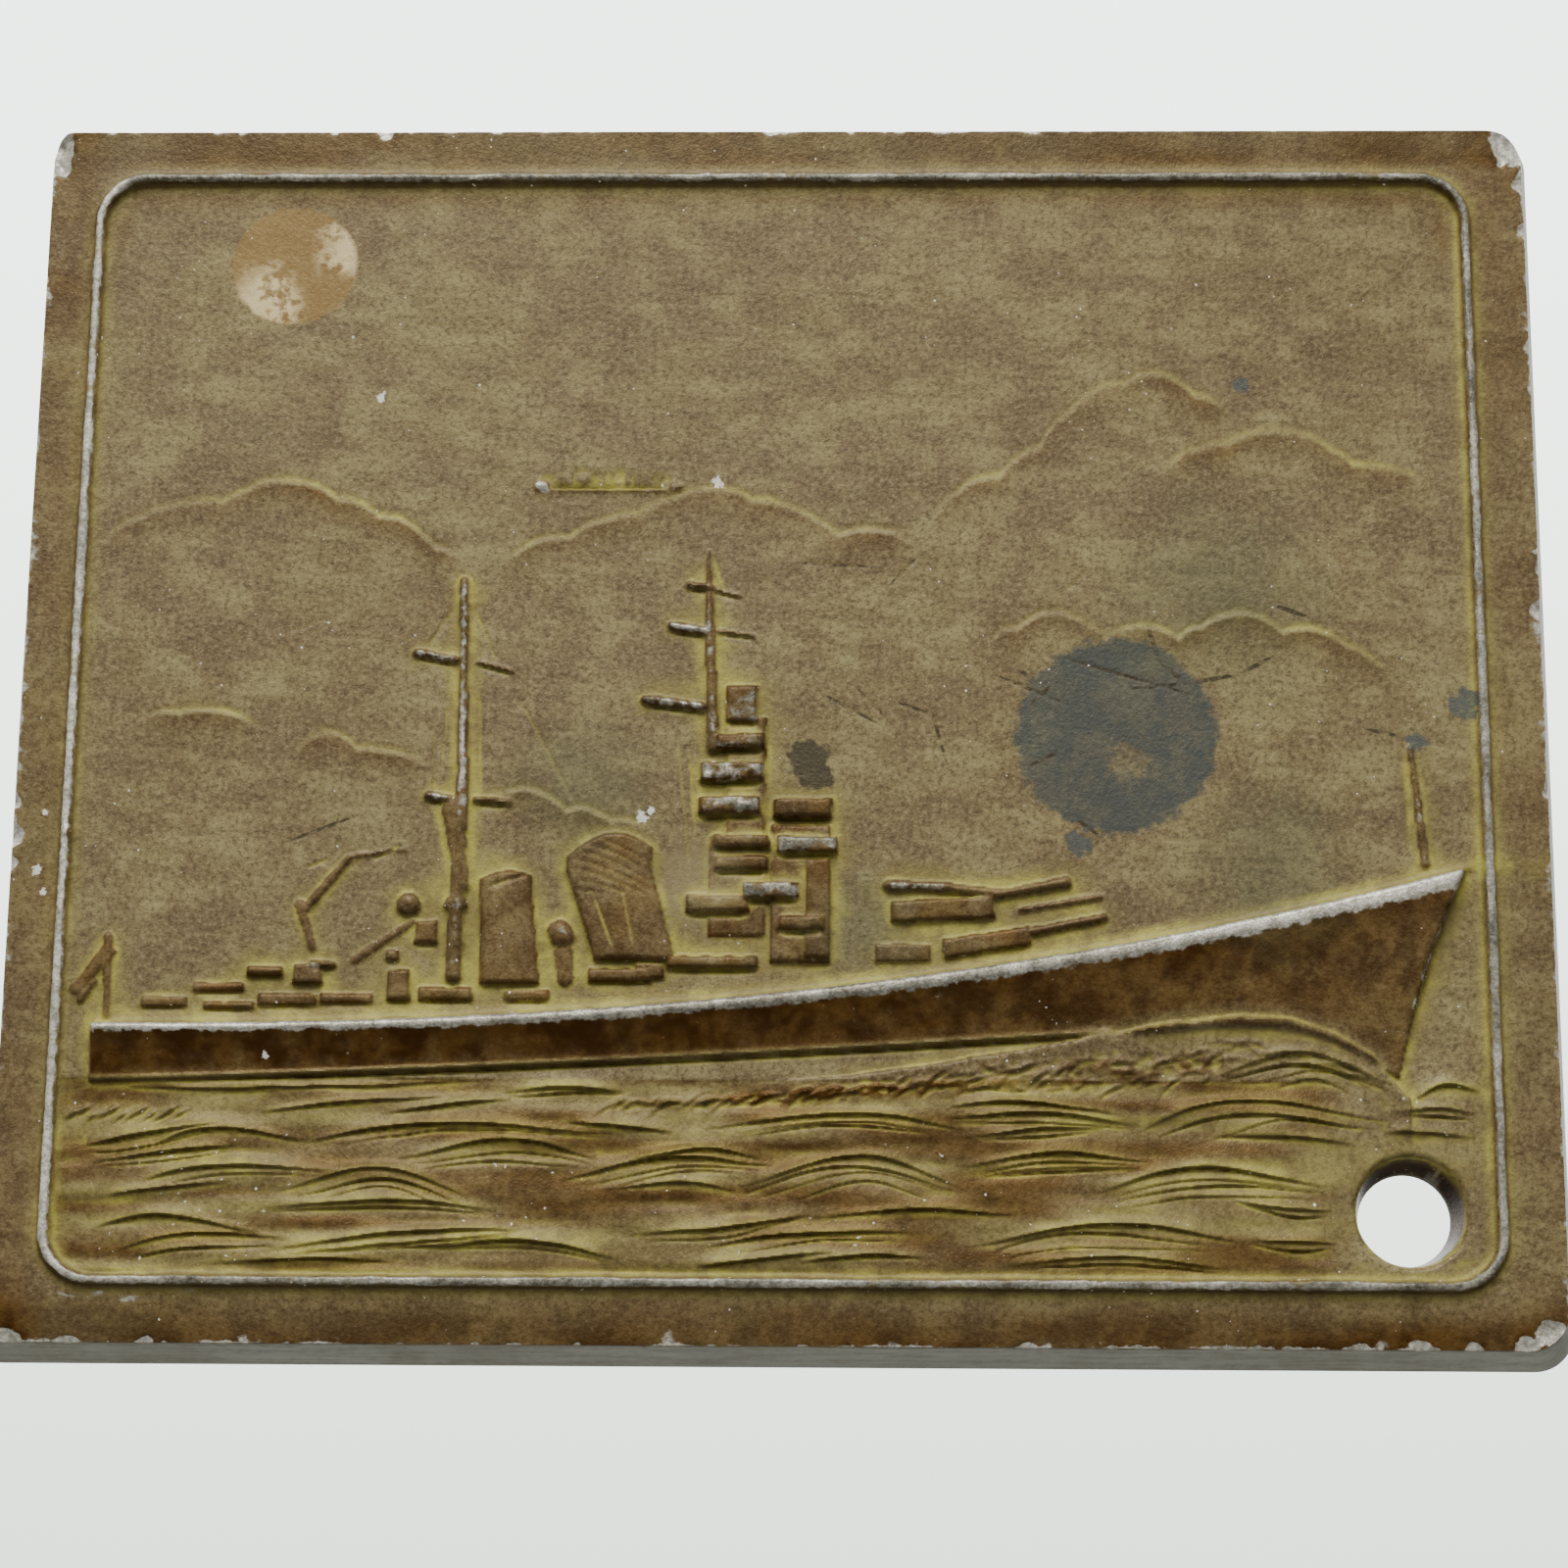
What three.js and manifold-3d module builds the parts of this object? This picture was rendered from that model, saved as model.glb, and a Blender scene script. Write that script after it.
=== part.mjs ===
// Decorative wall plaque: a cast metal plate with a warship carved in low relief.
// Modelled face up (x to the right, y up the picture, z out of the face), then stood
// upright: the back lies in the plane y = 0, the face looks along -Y and +Z is up.
// The origin is the middle of the back, where the plaque is fixed to a wall.
import * as THREE from 'three';
import { mergeVertices } from 'three/addons/utils/BufferGeometryUtils.js';
import Module from 'manifold-3d';

const wasm = await Module();
wasm.setup();

// The plate
const PLATE_WIDTH = 127;
const PLATE_HEIGHT = 105.5;
const PANEL_LEVEL = 5;
const RIM_LEVEL = 4.6;
const WALL_LEAN = 1.1;
const CORNERS = { topLeft: 1.6, topRight: 2.6, bottomRight: 3.2, bottomLeft: 1.8 };

// The raised bead that frames the picture
const BEAD_WIDTH = 115.4;
const BEAD_HEIGHT = 94;
const BEAD_CENTRE = { x: -0.3, y: 0.2 };
const BEAD_RADIUS = 4;
const BEAD_TOP = 0.7;
const BEAD_FLANK = 0.35;
const BEAD_RISE = 1.1;

// The hole through the lower right corner, wider at the front
const HOLE = { x: 50.3, y: -40.8, front: 4.35, back: 3.7 };
const HOLE_SIDES = 28;

// Depths of the carving, measured out of the panel
const SHEER_RISE = 1.8;
const WATERLINE_RISE = 0.25;
const FUNNEL_RISE = 0.75;
const TOWER_RISE = 0.9;
const FITTING_RISE = 0.6;
const CLOUD_RISE = 0.35;
const WAVE_RISE = 0.5;
const ROOT = 1.2;
const SUNK = -0.06;

// The hull: its sheer and waterline are curves of x, between stern and stem
const STERN_X = -55;
const BOW_X = 55.4;
const FOREFOOT = { x: 49.6, y: -30.2 };
const SHEER_LOW = -26.2;
const SHEER_SPRING = 13.1;
const WATER_LOW = -30.9;
const WATER_SPRING = 6.2;
const CUTWATER_X = 36;
const HULL_STEPS = 20;

// The sea: rows of long crests below the waterline
const SEA = { left: -56.5, right: 55.5, top: -32.2, bottom: -45.4, rows: 11 };
const QUIET = { x: 45, y: -35.2 };
const WAVE_STEPS = 36;
const WAVE_LENGTH = 34;
const WAVE_SWING = 0.6;
const WAVE_BODY = 1.1;
const ROW_SHIFT = 0.7;
const BOW_WAVE_BODY = 3.4;
const PUFF_RISE = 0.6;

const bronze = new THREE.MeshStandardMaterial({ color: 0x7a6a4a, roughness: 0.55, metalness: 0.35 });

// A closed three.js geometry as a solid that can be joined and cut.
function toSolid(geometry) {
  const bare = geometry.clone();
  bare.deleteAttribute('normal');
  bare.deleteAttribute('uv');
  const merged = mergeVertices(bare, 1e-4);
  const vertProperties = new Float32Array(merged.attributes.position.array);
  const triVerts = new Uint32Array(merged.index.array);
  return new wasm.Manifold(new wasm.Mesh({ numProp: 3, vertProperties, triVerts }));
}

function toGeometry(solid) {
  const mesh = solid.getMesh();
  const geometry = new THREE.BufferGeometry();
  geometry.setAttribute('position', new THREE.BufferAttribute(new Float32Array(mesh.vertProperties), 3));
  geometry.setIndex(new THREE.BufferAttribute(new Uint32Array(mesh.triVerts), 1));
  geometry.computeVertexNormals();
  return geometry;
}

// A rectangle with its own radius at each corner, anticlockwise from the lower left.
function roundedRectangle(target, width, height, radii, centre = { x: 0, y: 0 }) {
  const right = centre.x + width / 2;
  const left = centre.x - width / 2;
  const top = centre.y + height / 2;
  const bottom = centre.y - height / 2;
  const { topLeft, topRight, bottomRight, bottomLeft } = radii;
  const quarter = Math.PI / 2;
  target.absarc(right - bottomRight, bottom + bottomRight, bottomRight, -quarter, 0);
  target.absarc(right - topRight, top - topRight, topRight, 0, quarter);
  target.absarc(left + topLeft, top - topLeft, topLeft, quarter, 2 * quarter);
  target.absarc(left + bottomLeft, bottom + bottomLeft, bottomLeft, 2 * quarter, 3 * quarter);
  target.closePath();
  return target;
}

// A band across the picture, cut into columns. at(along, up) gives the place and the height
// of its face, where along runs from 0 at the left to 1 and up from 0 at the foot to 1.
function band(columns, at) {
  const geometry = new THREE.BoxGeometry(1, 1, 1, columns, 1, 1);
  const position = geometry.attributes.position;
  for (let i = 0; i < position.count; i += 1) {
    const { x, y, height } = at(position.getX(i) + 0.5, position.getY(i) + 0.5);
    const isFace = position.getZ(i) > 0;
    position.setXYZ(i, x, y, PANEL_LEVEL + (isFace ? height : -ROOT));
  }
  return toSolid(geometry);
}

// A ledge: a crest that stands out by rise, with a face that fades into the panel below it.
// It also fades towards both of its ends.
function ledge(columns, crestAt, body, rise) {
  return band(columns, (along, up) => {
    const crest = crestAt(along);
    const end = Math.min(1, 6 * along, 6 * (1 - along));
    const height = up > 0.5 ? THREE.MathUtils.lerp(SUNK, rise, end) : SUNK;
    return { x: crest.x, y: crest.y - (up > 0.5 ? 0 : body), height };
  });
}

function block(x, y, width, height, rise, turn = 0) {
  const geometry = new THREE.BoxGeometry(width, height, rise + ROOT);
  geometry.rotateZ(turn);
  geometry.translate(x, y, PANEL_LEVEL + (rise - ROOT) / 2);
  return toSolid(geometry);
}

// A round spar that lies half in the panel, from one end to the other.
function spar(from, to, startRadius, endRadius) {
  const run = new THREE.Vector2(to.x - from.x, to.y - from.y);
  const geometry = new THREE.CylinderGeometry(endRadius, startRadius, run.length(), 8);
  geometry.rotateZ(run.angle() - Math.PI / 2);
  geometry.translate((from.x + to.x) / 2, (from.y + to.y) / 2, PANEL_LEVEL);
  return toSolid(geometry);
}

function plate() {
  const shape = roundedRectangle(new THREE.Shape(), PLATE_WIDTH, PLATE_HEIGHT, CORNERS);
  const options = { depth: PANEL_LEVEL, steps: 2, bevelEnabled: false, curveSegments: 6 };
  const geometry = new THREE.ExtrudeGeometry(shape, options);
  const position = geometry.attributes.position;
  const margin = (PLATE_WIDTH - BEAD_WIDTH) / 2;
  for (let i = 0; i < position.count; i += 1) {
    const level = Math.round((position.getZ(i) / PANEL_LEVEL) * 2);
    const inset = [0, WALL_LEAN, margin][level];
    position.setX(i, position.getX(i) * (1 - (2 * inset) / PLATE_WIDTH));
    position.setY(i, position.getY(i) * (1 - (2 * inset) / PLATE_HEIGHT));
    position.setZ(i, [0, RIM_LEVEL, PANEL_LEVEL][level]);
  }
  return toSolid(geometry);
}

function bead() {
  const radii = (radius) => {
    return { topLeft: radius, topRight: radius, bottomRight: radius, bottomLeft: radius };
  };
  const edge = (target, out) => {
    const width = BEAD_WIDTH + 2 * out;
    const height = BEAD_HEIGHT + 2 * out;
    return roundedRectangle(target, width, height, radii(BEAD_RADIUS + out), BEAD_CENTRE);
  };
  const ring = edge(new THREE.Shape(), BEAD_TOP / 2);
  ring.holes.push(edge(new THREE.Path(), -BEAD_TOP / 2));
  const geometry = new THREE.ExtrudeGeometry(ring, {
    depth: ROOT,
    bevelThickness: BEAD_RISE,
    bevelSize: BEAD_FLANK,
    bevelSegments: 1,
    curveSegments: 6,
  });
  const position = geometry.attributes.position;
  for (let i = 0; i < position.count; i += 1) {
    if (position.getZ(i) < 0) position.setZ(i, -ROOT / 2);
  }
  geometry.translate(0, 0, PANEL_LEVEL - ROOT);
  return toSolid(geometry);
}

function sheerAt(x) {
  const along = (x - STERN_X) / (BOW_X - STERN_X);
  return SHEER_LOW + SHEER_SPRING * along ** 2.3;
}

function waterAt(x) {
  const along = (x - STERN_X) / (BOW_X - STERN_X);
  const cutwater = Math.max(0, (x - CUTWATER_X) / (FOREFOOT.x - CUTWATER_X));
  return THREE.MathUtils.lerp(WATER_LOW + WATER_SPRING * along ** 1.35, FOREFOOT.y, cutwater ** 2);
}

// The hull stands out most at the sheer and falls back to the waterline.
function hull() {
  return band(HULL_STEPS, (along, up) => {
    const isSheer = up > 0.5;
    const x = THREE.MathUtils.lerp(STERN_X, isSheer ? BOW_X : FOREFOOT.x, along);
    const y = isSheer ? sheerAt(x) : waterAt(x);
    return { x, y, height: isSheer ? SHEER_RISE : WATERLINE_RISE };
  });
}

// The two funnels, rounded in front with an arched top, and a small cowl between them.
function funnels() {
  const stacks = [
    { foot: { left: -14.7, right: -8, y: -20.9 }, head: { left: -17.1, right: -10.2, y: -13.2 }, arch: 3.1 },
    { foot: { left: -23.8, right: -19.2, y: -22.9 }, head: { left: -24, right: -19.9, y: -14.4 }, arch: 1.1 },
  ];
  const pieces = stacks.map(({ foot, head, arch }) => band(8, (along, up) => {
    const left = THREE.MathUtils.lerp(foot.left, head.left, up);
    const right = THREE.MathUtils.lerp(foot.right, head.right, up);
    const top = head.y + arch * Math.sin(Math.PI * (0.1 + 0.7 * along));
    const height = FUNNEL_RISE * Math.sqrt(1 - (1.8 * (along - 0.5)) ** 2);
    return { x: THREE.MathUtils.lerp(left, right, along), y: THREE.MathUtils.lerp(foot.y, top, up), height };
  }));
  const cowl = new THREE.SphereGeometry(1.1, 10, 8);
  cowl.scale(1, 1, FITTING_RISE);
  cowl.translate(-17.4, -18.5, PANEL_LEVEL);
  return [...pieces, toSolid(cowl)];
}

// Two masts with their yards. A yard stands out to the left of its mast and sinks to the right.
function masts() {
  const aftFoot = { x: -26, y: -22 };
  const foreFoot = { x: -5.6, y: -3 };
  const pieces = [
    spar(aftFoot, { x: -26.1, y: 11.2 }, 0.75, 0.35),
    spar(foreFoot, { x: -5.9, y: 13.6 }, 0.7, 0.25),
  ];
  const yards = [
    { mast: -26, y: 4.6, left: 3.8, right: 4, drop: 0.7 },
    { mast: -26, y: -7.4, left: 2.7, right: 4, drop: 0.2 },
    { mast: -5.7, y: 10.7, left: 1.8, right: 2.4, drop: 0.4 },
    { mast: -5.7, y: 7.1, left: 3.1, right: 3.4, drop: 0.4 },
    { mast: -5.7, y: 0.9, left: 5.1, right: 0.4, drop: 0.3 },
  ];
  for (const { mast, y, left, right, drop } of yards) {
    pieces.push(spar({ x: mast - left, y: y + drop }, { x: mast, y }, 0.42, 0.42));
    pieces.push(spar({ x: mast, y }, { x: mast + right, y: y - drop }, 0.42, 0.2));
  }
  return pieces;
}

// The bridge tower: decks stacked in front of the fore mast, each wider than it is tall.
function tower() {
  const left = [
    { y: 0.8, x: -3, width: 2.6, height: 3.2 },
    { y: -2.4, x: -3, width: 4, height: 1.4 },
    { y: -5, x: -3.8, width: 5.2, height: 1.8 },
    { y: -7.9, x: -3.9, width: 5.1, height: 1.6 },
    { y: -11.8, x: -2.9, width: 5, height: 3 },
    { y: -16.1, x: -4.8, width: 5.2, height: 1.5 },
  ];
  const right = [
    { y: -8.1, x: 2, width: 4.8, height: 1.7 },
    { y: -11.3, x: 2.4, width: 5, height: 1.7 },
    { y: -15, x: -0.5, width: 4.6, height: 1.6 },
    { y: -17.7, x: 2.1, width: 3.8, height: 1.4 },
  ];
  const core = [
    block(-2.4, -5.5, 3, 11, 0.35),
    block(1.6, -15, 5.2, 12, 0.4),
    block(-5.4, -20.9, 7.3, 1.2, FITTING_RISE),
  ];
  const decks = [...left, ...right].map((deck) => block(deck.x, deck.y, deck.width, deck.height, TOWER_RISE));
  return [...core, ...decks];
}

// Deck fittings: guns forward, boats, boxes and a crane aft, and the staffs at both ends.
function fittings() {
  const climb = Math.atan2(2.6, 15);
  const pieces = [
    block(13.6, -16.5, 8.2, 1.9, FITTING_RISE, climb / 3),
    block(17, -19.1, 7.2, 1.9, FITTING_RISE, climb),
    block(10.2, -20.2, 4.6, 1.7, 0.35),
    spar({ x: 9, y: -14.5 }, { x: 17.5, y: -14.8 }, 0.5, 0.4),
    spar({ x: 17, y: -15 }, { x: 23.4, y: -14.2 }, 0.4, 0.5),
    spar({ x: 20, y: -18.2 }, { x: 26.6, y: -17 }, 0.4, 0.35),
    block(-28.3, -18.5, 1.9, 2, 0.4),
    block(-30.4, -23, 2.3, 2.6, FITTING_RISE),
    block(-12.6, -22, 5, 1.3, FITTING_RISE),
    spar({ x: -38.3, y: -16.5 }, { x: -37.7, y: -20.3 }, 0.4, 0.4),
    spar({ x: -38.2, y: -16.8 }, { x: -34.8, y: -12.2 }, 0.4, 0.3),
    spar({ x: -54.3, y: -18.9 }, { x: -53.9, y: -25.8 }, 0.4, 0.4),
    spar({ x: 51.1, y: -2.8 }, { x: 52.3, y: -12.6 }, 0.25, 0.45),
    block(-55.3, -21.9, 1.5, 4.6, 0.45, -0.5),
  ];
  for (const x of [-29.8, -26]) {
    const light = new THREE.CylinderGeometry(0.9, 0.9, FITTING_RISE + ROOT, 10);
    light.rotateX(Math.PI / 2);
    light.translate(x, -16.1, PANEL_LEVEL + (FITTING_RISE - ROOT) / 2);
    pieces.push(toSolid(light));
  }
  const lowDeck = [-49.3, -44.9, -39.3, -34.6, -26.6, -20.1];
  for (const x of lowDeck) pieces.push(block(x, -23.9, 4, 1.1, 0.35));
  for (const x of [-41.3, -37.4]) pieces.push(block(x, -21.7, 3, 1.3, FITTING_RISE));
  return pieces;
}

// Banks of cloud: each is a run of puffs along a sloping line that arches up.
function clouds() {
  const banks = [
    { from: { x: -56.8, y: 14 }, to: { x: -26.4, y: 12.6 }, arch: 5.6, puffs: 4, body: 7 },
    { from: { x: -21.5, y: 14 }, to: { x: 5.2, y: 15.4 }, arch: 4, puffs: 3, body: 6 },
    { from: { x: 5, y: 15.4 }, to: { x: 11.8, y: 14 }, arch: 0.8, puffs: 1, body: 3 },
    { from: { x: 12.2, y: 16.4 }, to: { x: 36.8, y: 27.6 }, arch: 3.4, puffs: 4, body: 8 },
    { from: { x: 31.4, y: 21.4 }, to: { x: 53.4, y: 20.4 }, arch: 2.8, puffs: 3, body: 6 },
    { from: { x: 18.6, y: 7.3 }, to: { x: 26.6, y: 6.4 }, arch: 1.2, puffs: 1, body: 4 },
    { from: { x: 26.4, y: 6.6 }, to: { x: 33.6, y: 6.8 }, arch: 0.6, puffs: 1, body: 4 },
    { from: { x: 33.4, y: 6.8 }, to: { x: 51, y: 4.8 }, arch: 2, puffs: 2, body: 5 },
    { from: { x: -52, y: -0.8 }, to: { x: -42.6, y: -1 }, arch: 1.2, puffs: 2, body: 3 },
    { from: { x: -39.8, y: -3.6 }, to: { x: -28, y: -4.4 }, arch: 1.4, puffs: 2, body: 4 },
    { from: { x: -23, y: -6.4 }, to: { x: -10.6, y: -9.6 }, arch: 0.8, puffs: 2, body: 2.4 },
  ];
  return banks.map(({ from, to, arch, puffs, body }) => {
    const crestAt = (along) => {
      const puff = PUFF_RISE * Math.abs(Math.sin(Math.PI * puffs * along));
      const x = THREE.MathUtils.lerp(from.x, to.x, along);
      return { x, y: THREE.MathUtils.lerp(from.y, to.y, along) + arch * Math.sin(Math.PI * along) + puff };
    };
    return ledge(puffs * 5, crestAt, body, CLOUD_RISE);
  });
}

// The sea: long crests that swell together and run closer and wider from row to row.
function sea() {
  const pieces = [];
  for (let row = 0; row < SEA.rows; row += 1) {
    const y = THREE.MathUtils.lerp(SEA.top, SEA.bottom, row / (SEA.rows - 1));
    const right = y > QUIET.y ? SEA.right : QUIET.x;
    const room = Math.min(1, (y - SEA.bottom + WAVE_SWING / 2) / (2 * WAVE_SWING));
    const crestAt = (along) => {
      const x = THREE.MathUtils.lerp(SEA.left, right, along);
      const turn = (2 * Math.PI * x) / WAVE_LENGTH + row * ROW_SHIFT;
      return { x, y: y + room * WAVE_SWING * (Math.sin(turn) + 0.4 * Math.sin(2.1 * turn + row)) };
    };
    pieces.push(ledge(WAVE_STEPS, crestAt, WAVE_BODY, WAVE_RISE));
  }
  const bowWave = new THREE.SplineCurve([
    new THREE.Vector2(-2, -29.6),
    new THREE.Vector2(14, -28.2),
    new THREE.Vector2(28, -26.4),
    new THREE.Vector2(37.5, -25.2),
    new THREE.Vector2(43.1, -26),
    new THREE.Vector2(47.2, -28.2),
    new THREE.Vector2(50.2, -31.6),
  ]);
  pieces.push(ledge(24, (along) => bowWave.getPoint(along), BOW_WAVE_BODY, WAVE_RISE + WATERLINE_RISE));
  return pieces;
}

function hole() {
  const taper = (HOLE.front - HOLE.back) / PANEL_LEVEL;
  const reach = 2;
  const front = HOLE.front + taper * reach;
  const back = HOLE.back - taper * reach;
  const geometry = new THREE.CylinderGeometry(front, back, PANEL_LEVEL + 2 * reach, HOLE_SIDES);
  geometry.rotateX(Math.PI / 2);
  geometry.translate(HOLE.x, HOLE.y, PANEL_LEVEL / 2);
  return toSolid(geometry);
}

const relief = [bead(), hull(), ...funnels(), ...masts(), ...tower(), ...fittings(), ...clouds(), ...sea()];
const body = relief.reduce((whole, piece) => whole.add(piece), plate());

const plaque = new THREE.Mesh(toGeometry(body.subtract(hole())), bronze);
plaque.name = 'plaque';
plaque.rotation.x = Math.PI / 2;

const part = new THREE.Group();
part.add(plaque);

export default part;
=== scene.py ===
import math

import bpy
import numpy as np
from mathutils.geometry import tessellate_polygon
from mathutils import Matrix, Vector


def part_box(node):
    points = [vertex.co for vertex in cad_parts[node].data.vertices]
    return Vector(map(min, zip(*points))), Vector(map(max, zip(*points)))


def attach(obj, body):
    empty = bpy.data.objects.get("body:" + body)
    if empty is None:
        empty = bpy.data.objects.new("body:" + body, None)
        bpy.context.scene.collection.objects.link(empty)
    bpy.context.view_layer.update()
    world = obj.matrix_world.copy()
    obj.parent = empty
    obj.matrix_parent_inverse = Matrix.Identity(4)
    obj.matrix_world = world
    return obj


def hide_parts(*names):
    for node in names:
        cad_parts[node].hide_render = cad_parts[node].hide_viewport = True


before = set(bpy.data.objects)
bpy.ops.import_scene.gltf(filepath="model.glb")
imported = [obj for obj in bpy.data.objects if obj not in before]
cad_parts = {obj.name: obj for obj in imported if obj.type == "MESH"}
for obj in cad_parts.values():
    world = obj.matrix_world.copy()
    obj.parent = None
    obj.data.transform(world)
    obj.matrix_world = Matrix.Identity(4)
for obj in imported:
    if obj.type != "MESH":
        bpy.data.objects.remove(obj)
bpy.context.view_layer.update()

# The casting's face. The plaque was cast in one from a carved pattern, so its whole face
# is one map of heights over the back, in millimetres, with x to the right and z up. The
# map's grid is finest over the sea and coarse over the empty sky.
MM = 0.001
low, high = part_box("plaque")
WIDTH = (high[0] - low[0]) / MM
HEIGHT = (high[2] - low[2]) / MM
HIGHEST = (high[1] - low[1]) / MM
PANEL = 5.0
RIM = 4.6
WALL_LEAN = 1.1
FINE = 0.18
SEA_STEP = 0.13
COARSE = 0.32
SEA_LINE = -29
SKY_LINE = 17
TOP_LINE = 45

front_width = WIDTH - 2 * WALL_LEAN
front_height = HEIGHT - 2 * WALL_LEAN


def evenly(start, end, step):
    """Numbers from start up to but not including end, about step apart."""
    return np.linspace(start, end, round((end - start) / step), endpoint=False)


columns = np.append(evenly(-front_width / 2, front_width / 2, FINE), front_width / 2)
rows = np.concatenate([
    evenly(-front_height / 2, SEA_LINE, SEA_STEP),
    evenly(SEA_LINE, SKY_LINE, FINE),
    evenly(SKY_LINE, TOP_LINE, COARSE),
    evenly(TOP_LINE, front_height / 2, FINE),
    [front_height / 2],
])
flat_x, flat_z = np.meshgrid(columns, rows)

# The outline and the hole, as the grid follows them. Each outer corner is rounded by its
# own radius. A square of the grid opens into the round hole, and the cells around it give
# way, out to HOLE_REACH times the square.
CORNERS = {(-1, 1): 1.6, (1, 1): 2.6, (1, -1): 3.2, (-1, -1): 1.8}
HOLE_X = 50.3
HOLE_Z = -40.8
HOLE_FRONT = 4.35
HOLE_BACK = 3.7
HOLE_REACH = 1.35
HOLE_SQUARE = 0.9

grid_x = flat_x.copy()
grid_z = flat_z.copy()
for (side, end), radius in CORNERS.items():
    across = (flat_x * side - (front_width / 2 - radius)) / radius
    along = (flat_z * end - (front_height / 2 - radius)) / radius
    corner = (across > 0) & (along > 0)
    shrink = np.maximum(across, along)[corner] / np.hypot(across, along)[corner]
    grid_x[corner] = side * (front_width / 2 - radius + across[corner] * shrink * radius)
    grid_z[corner] = end * (front_height / 2 - radius + along[corner] * shrink * radius)

middle_column = int(np.argmin(abs(columns - HOLE_X)))
middle_row = int(np.argmin(abs(rows - HOLE_Z)))
half_columns = round(HOLE_SQUARE * HOLE_FRONT / FINE)
half_rows = round(HOLE_SQUARE * HOLE_FRONT / SEA_STEP)
steps_x, steps_z = np.meshgrid(
    (np.arange(len(columns)) - middle_column) / half_columns,
    (np.arange(len(rows)) - middle_row) / half_rows)
ring = np.maximum(abs(steps_x), abs(steps_z))
around_hole = (ring >= 1) & (ring < HOLE_REACH)
out = ((ring - 1) / (HOLE_REACH - 1))[around_hole]
bearing = np.arctan2(steps_z, steps_x)[around_hole]
grid_x[around_hole] = (1 - out) * (HOLE_X + HOLE_FRONT * np.cos(bearing)) + out * flat_x[around_hole]
grid_z[around_hole] = (1 - out) * (HOLE_Z + HOLE_FRONT * np.sin(bearing)) + out * flat_z[around_hole]


def noise(across, up, seed):
    """Smooth bumps from -1 to 1, this many millimetres apart across and up the face."""
    cells = (int(front_height / up) + 3, int(front_width / across) + 3)
    lattice = np.random.RandomState(seed).uniform(-1, 1, cells)
    u = (grid_x + front_width / 2) / across
    v = (grid_z + front_height / 2) / up
    column = np.clip(u.astype(int), 0, cells[1] - 2)
    row = np.clip(v.astype(int), 0, cells[0] - 2)
    u = u - column
    v = v - row
    u = u * u * (3 - 2 * u)
    v = v * v * (3 - 2 * v)
    lower = lattice[row, column] * (1 - u) + lattice[row, column + 1] * u
    upper = lattice[row + 1, column] * (1 - u) + lattice[row + 1, column + 1] * u
    return lower * (1 - v) + upper * v


def soften(field, reach):
    """The field averaged over its neighbours, with a bell that is reach cells wide."""
    steps = np.arange(-3 * reach, 3 * reach + 1)
    bell = np.exp(-(steps / reach) ** 2 / 2)
    bell /= bell.sum()
    for axis in (0, 1):
        margins = [(3 * reach, 3 * reach) if side == axis else (0, 0) for side in (0, 1)]
        padded = np.pad(field, margins, mode="edge")
        size = field.shape[axis]
        field = sum(share * np.take(padded, range(i, i + size), axis) for i, share in enumerate(bell))
    return field


def box_distance(x, z, width, height, radius):
    """Distance to the edge of a rounded rectangle round x, z: negative inside it."""
    across = abs(grid_x - x) - width / 2 + radius
    up = abs(grid_z - z) - height / 2 + radius
    outside = np.hypot(np.maximum(across, 0), np.maximum(up, 0))
    return outside + np.minimum(np.maximum(across, up), 0) - radius


# The plate's margin slopes down to a worn rim, and the brown map darkens it along the rim.
# Besides the height, four maps say how the finish lies: worn is rubbed to grey metal, bright
# says how light that metal is, brown is dark lacquer and in places painted shade, olive is old wax.
MARGIN = 5.0
MARGIN_CORNER = 2.2
RIM_ROUND = 0.4
RIM_DROP = 0.2

inside = -box_distance(0, 0, front_width, front_height, MARGIN_CORNER)
height = PANEL - (PANEL - RIM) * np.clip(1 - inside / MARGIN, 0, 1) ** 1.2
height -= RIM_DROP * np.clip(1 - inside / RIM_ROUND, 0, 1) ** 2
worn = np.zeros_like(height)
bright = np.full_like(height, 0.6)
# The top rim band and the left and right rims are darker. Painted shade: the face darker towards its top and
# upper right, and the bottom margin, which leans down, darker towards its rim.
brown = np.clip((grid_z - 47.8) / 0.8, 0, 1) * 0.45 + 0.12 * np.clip((grid_z - 20) / 25, 0, 1)
brown += np.clip((-47.2 - grid_z) / 3.2, 0, 1)
brown += 0.14 * np.clip((grid_x - 20) / 30, 0, 1) * np.clip((grid_z - 22) / 15, 0, 1)
brown += 0.28 * np.clip((grid_x - 57.6) / 1.5, 0, 1) + 0.42 * np.clip((-57.8 - grid_x) / 1.5, 0, 1)
brown *= 0.85 + 0.35 * noise(7, 1.6, 2)
olive = np.zeros_like(height)

# The bead is a narrow raised line round the picture with soft fillets. Its flat top is
# rubbed to metal, brightest on the left, with ragged edges where the metal was dragged.
BEAD_WIDTH = 115.4
BEAD_HEIGHT = 94.0
BEAD_X = -0.3
BEAD_Z = 0.2
BEAD_RADIUS = 4.0
BEAD_RISE = 0.85
BEAD_HALF = 0.26
BEAD_FLANK = 0.25
PICTURE_INSET = 0.8

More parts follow.
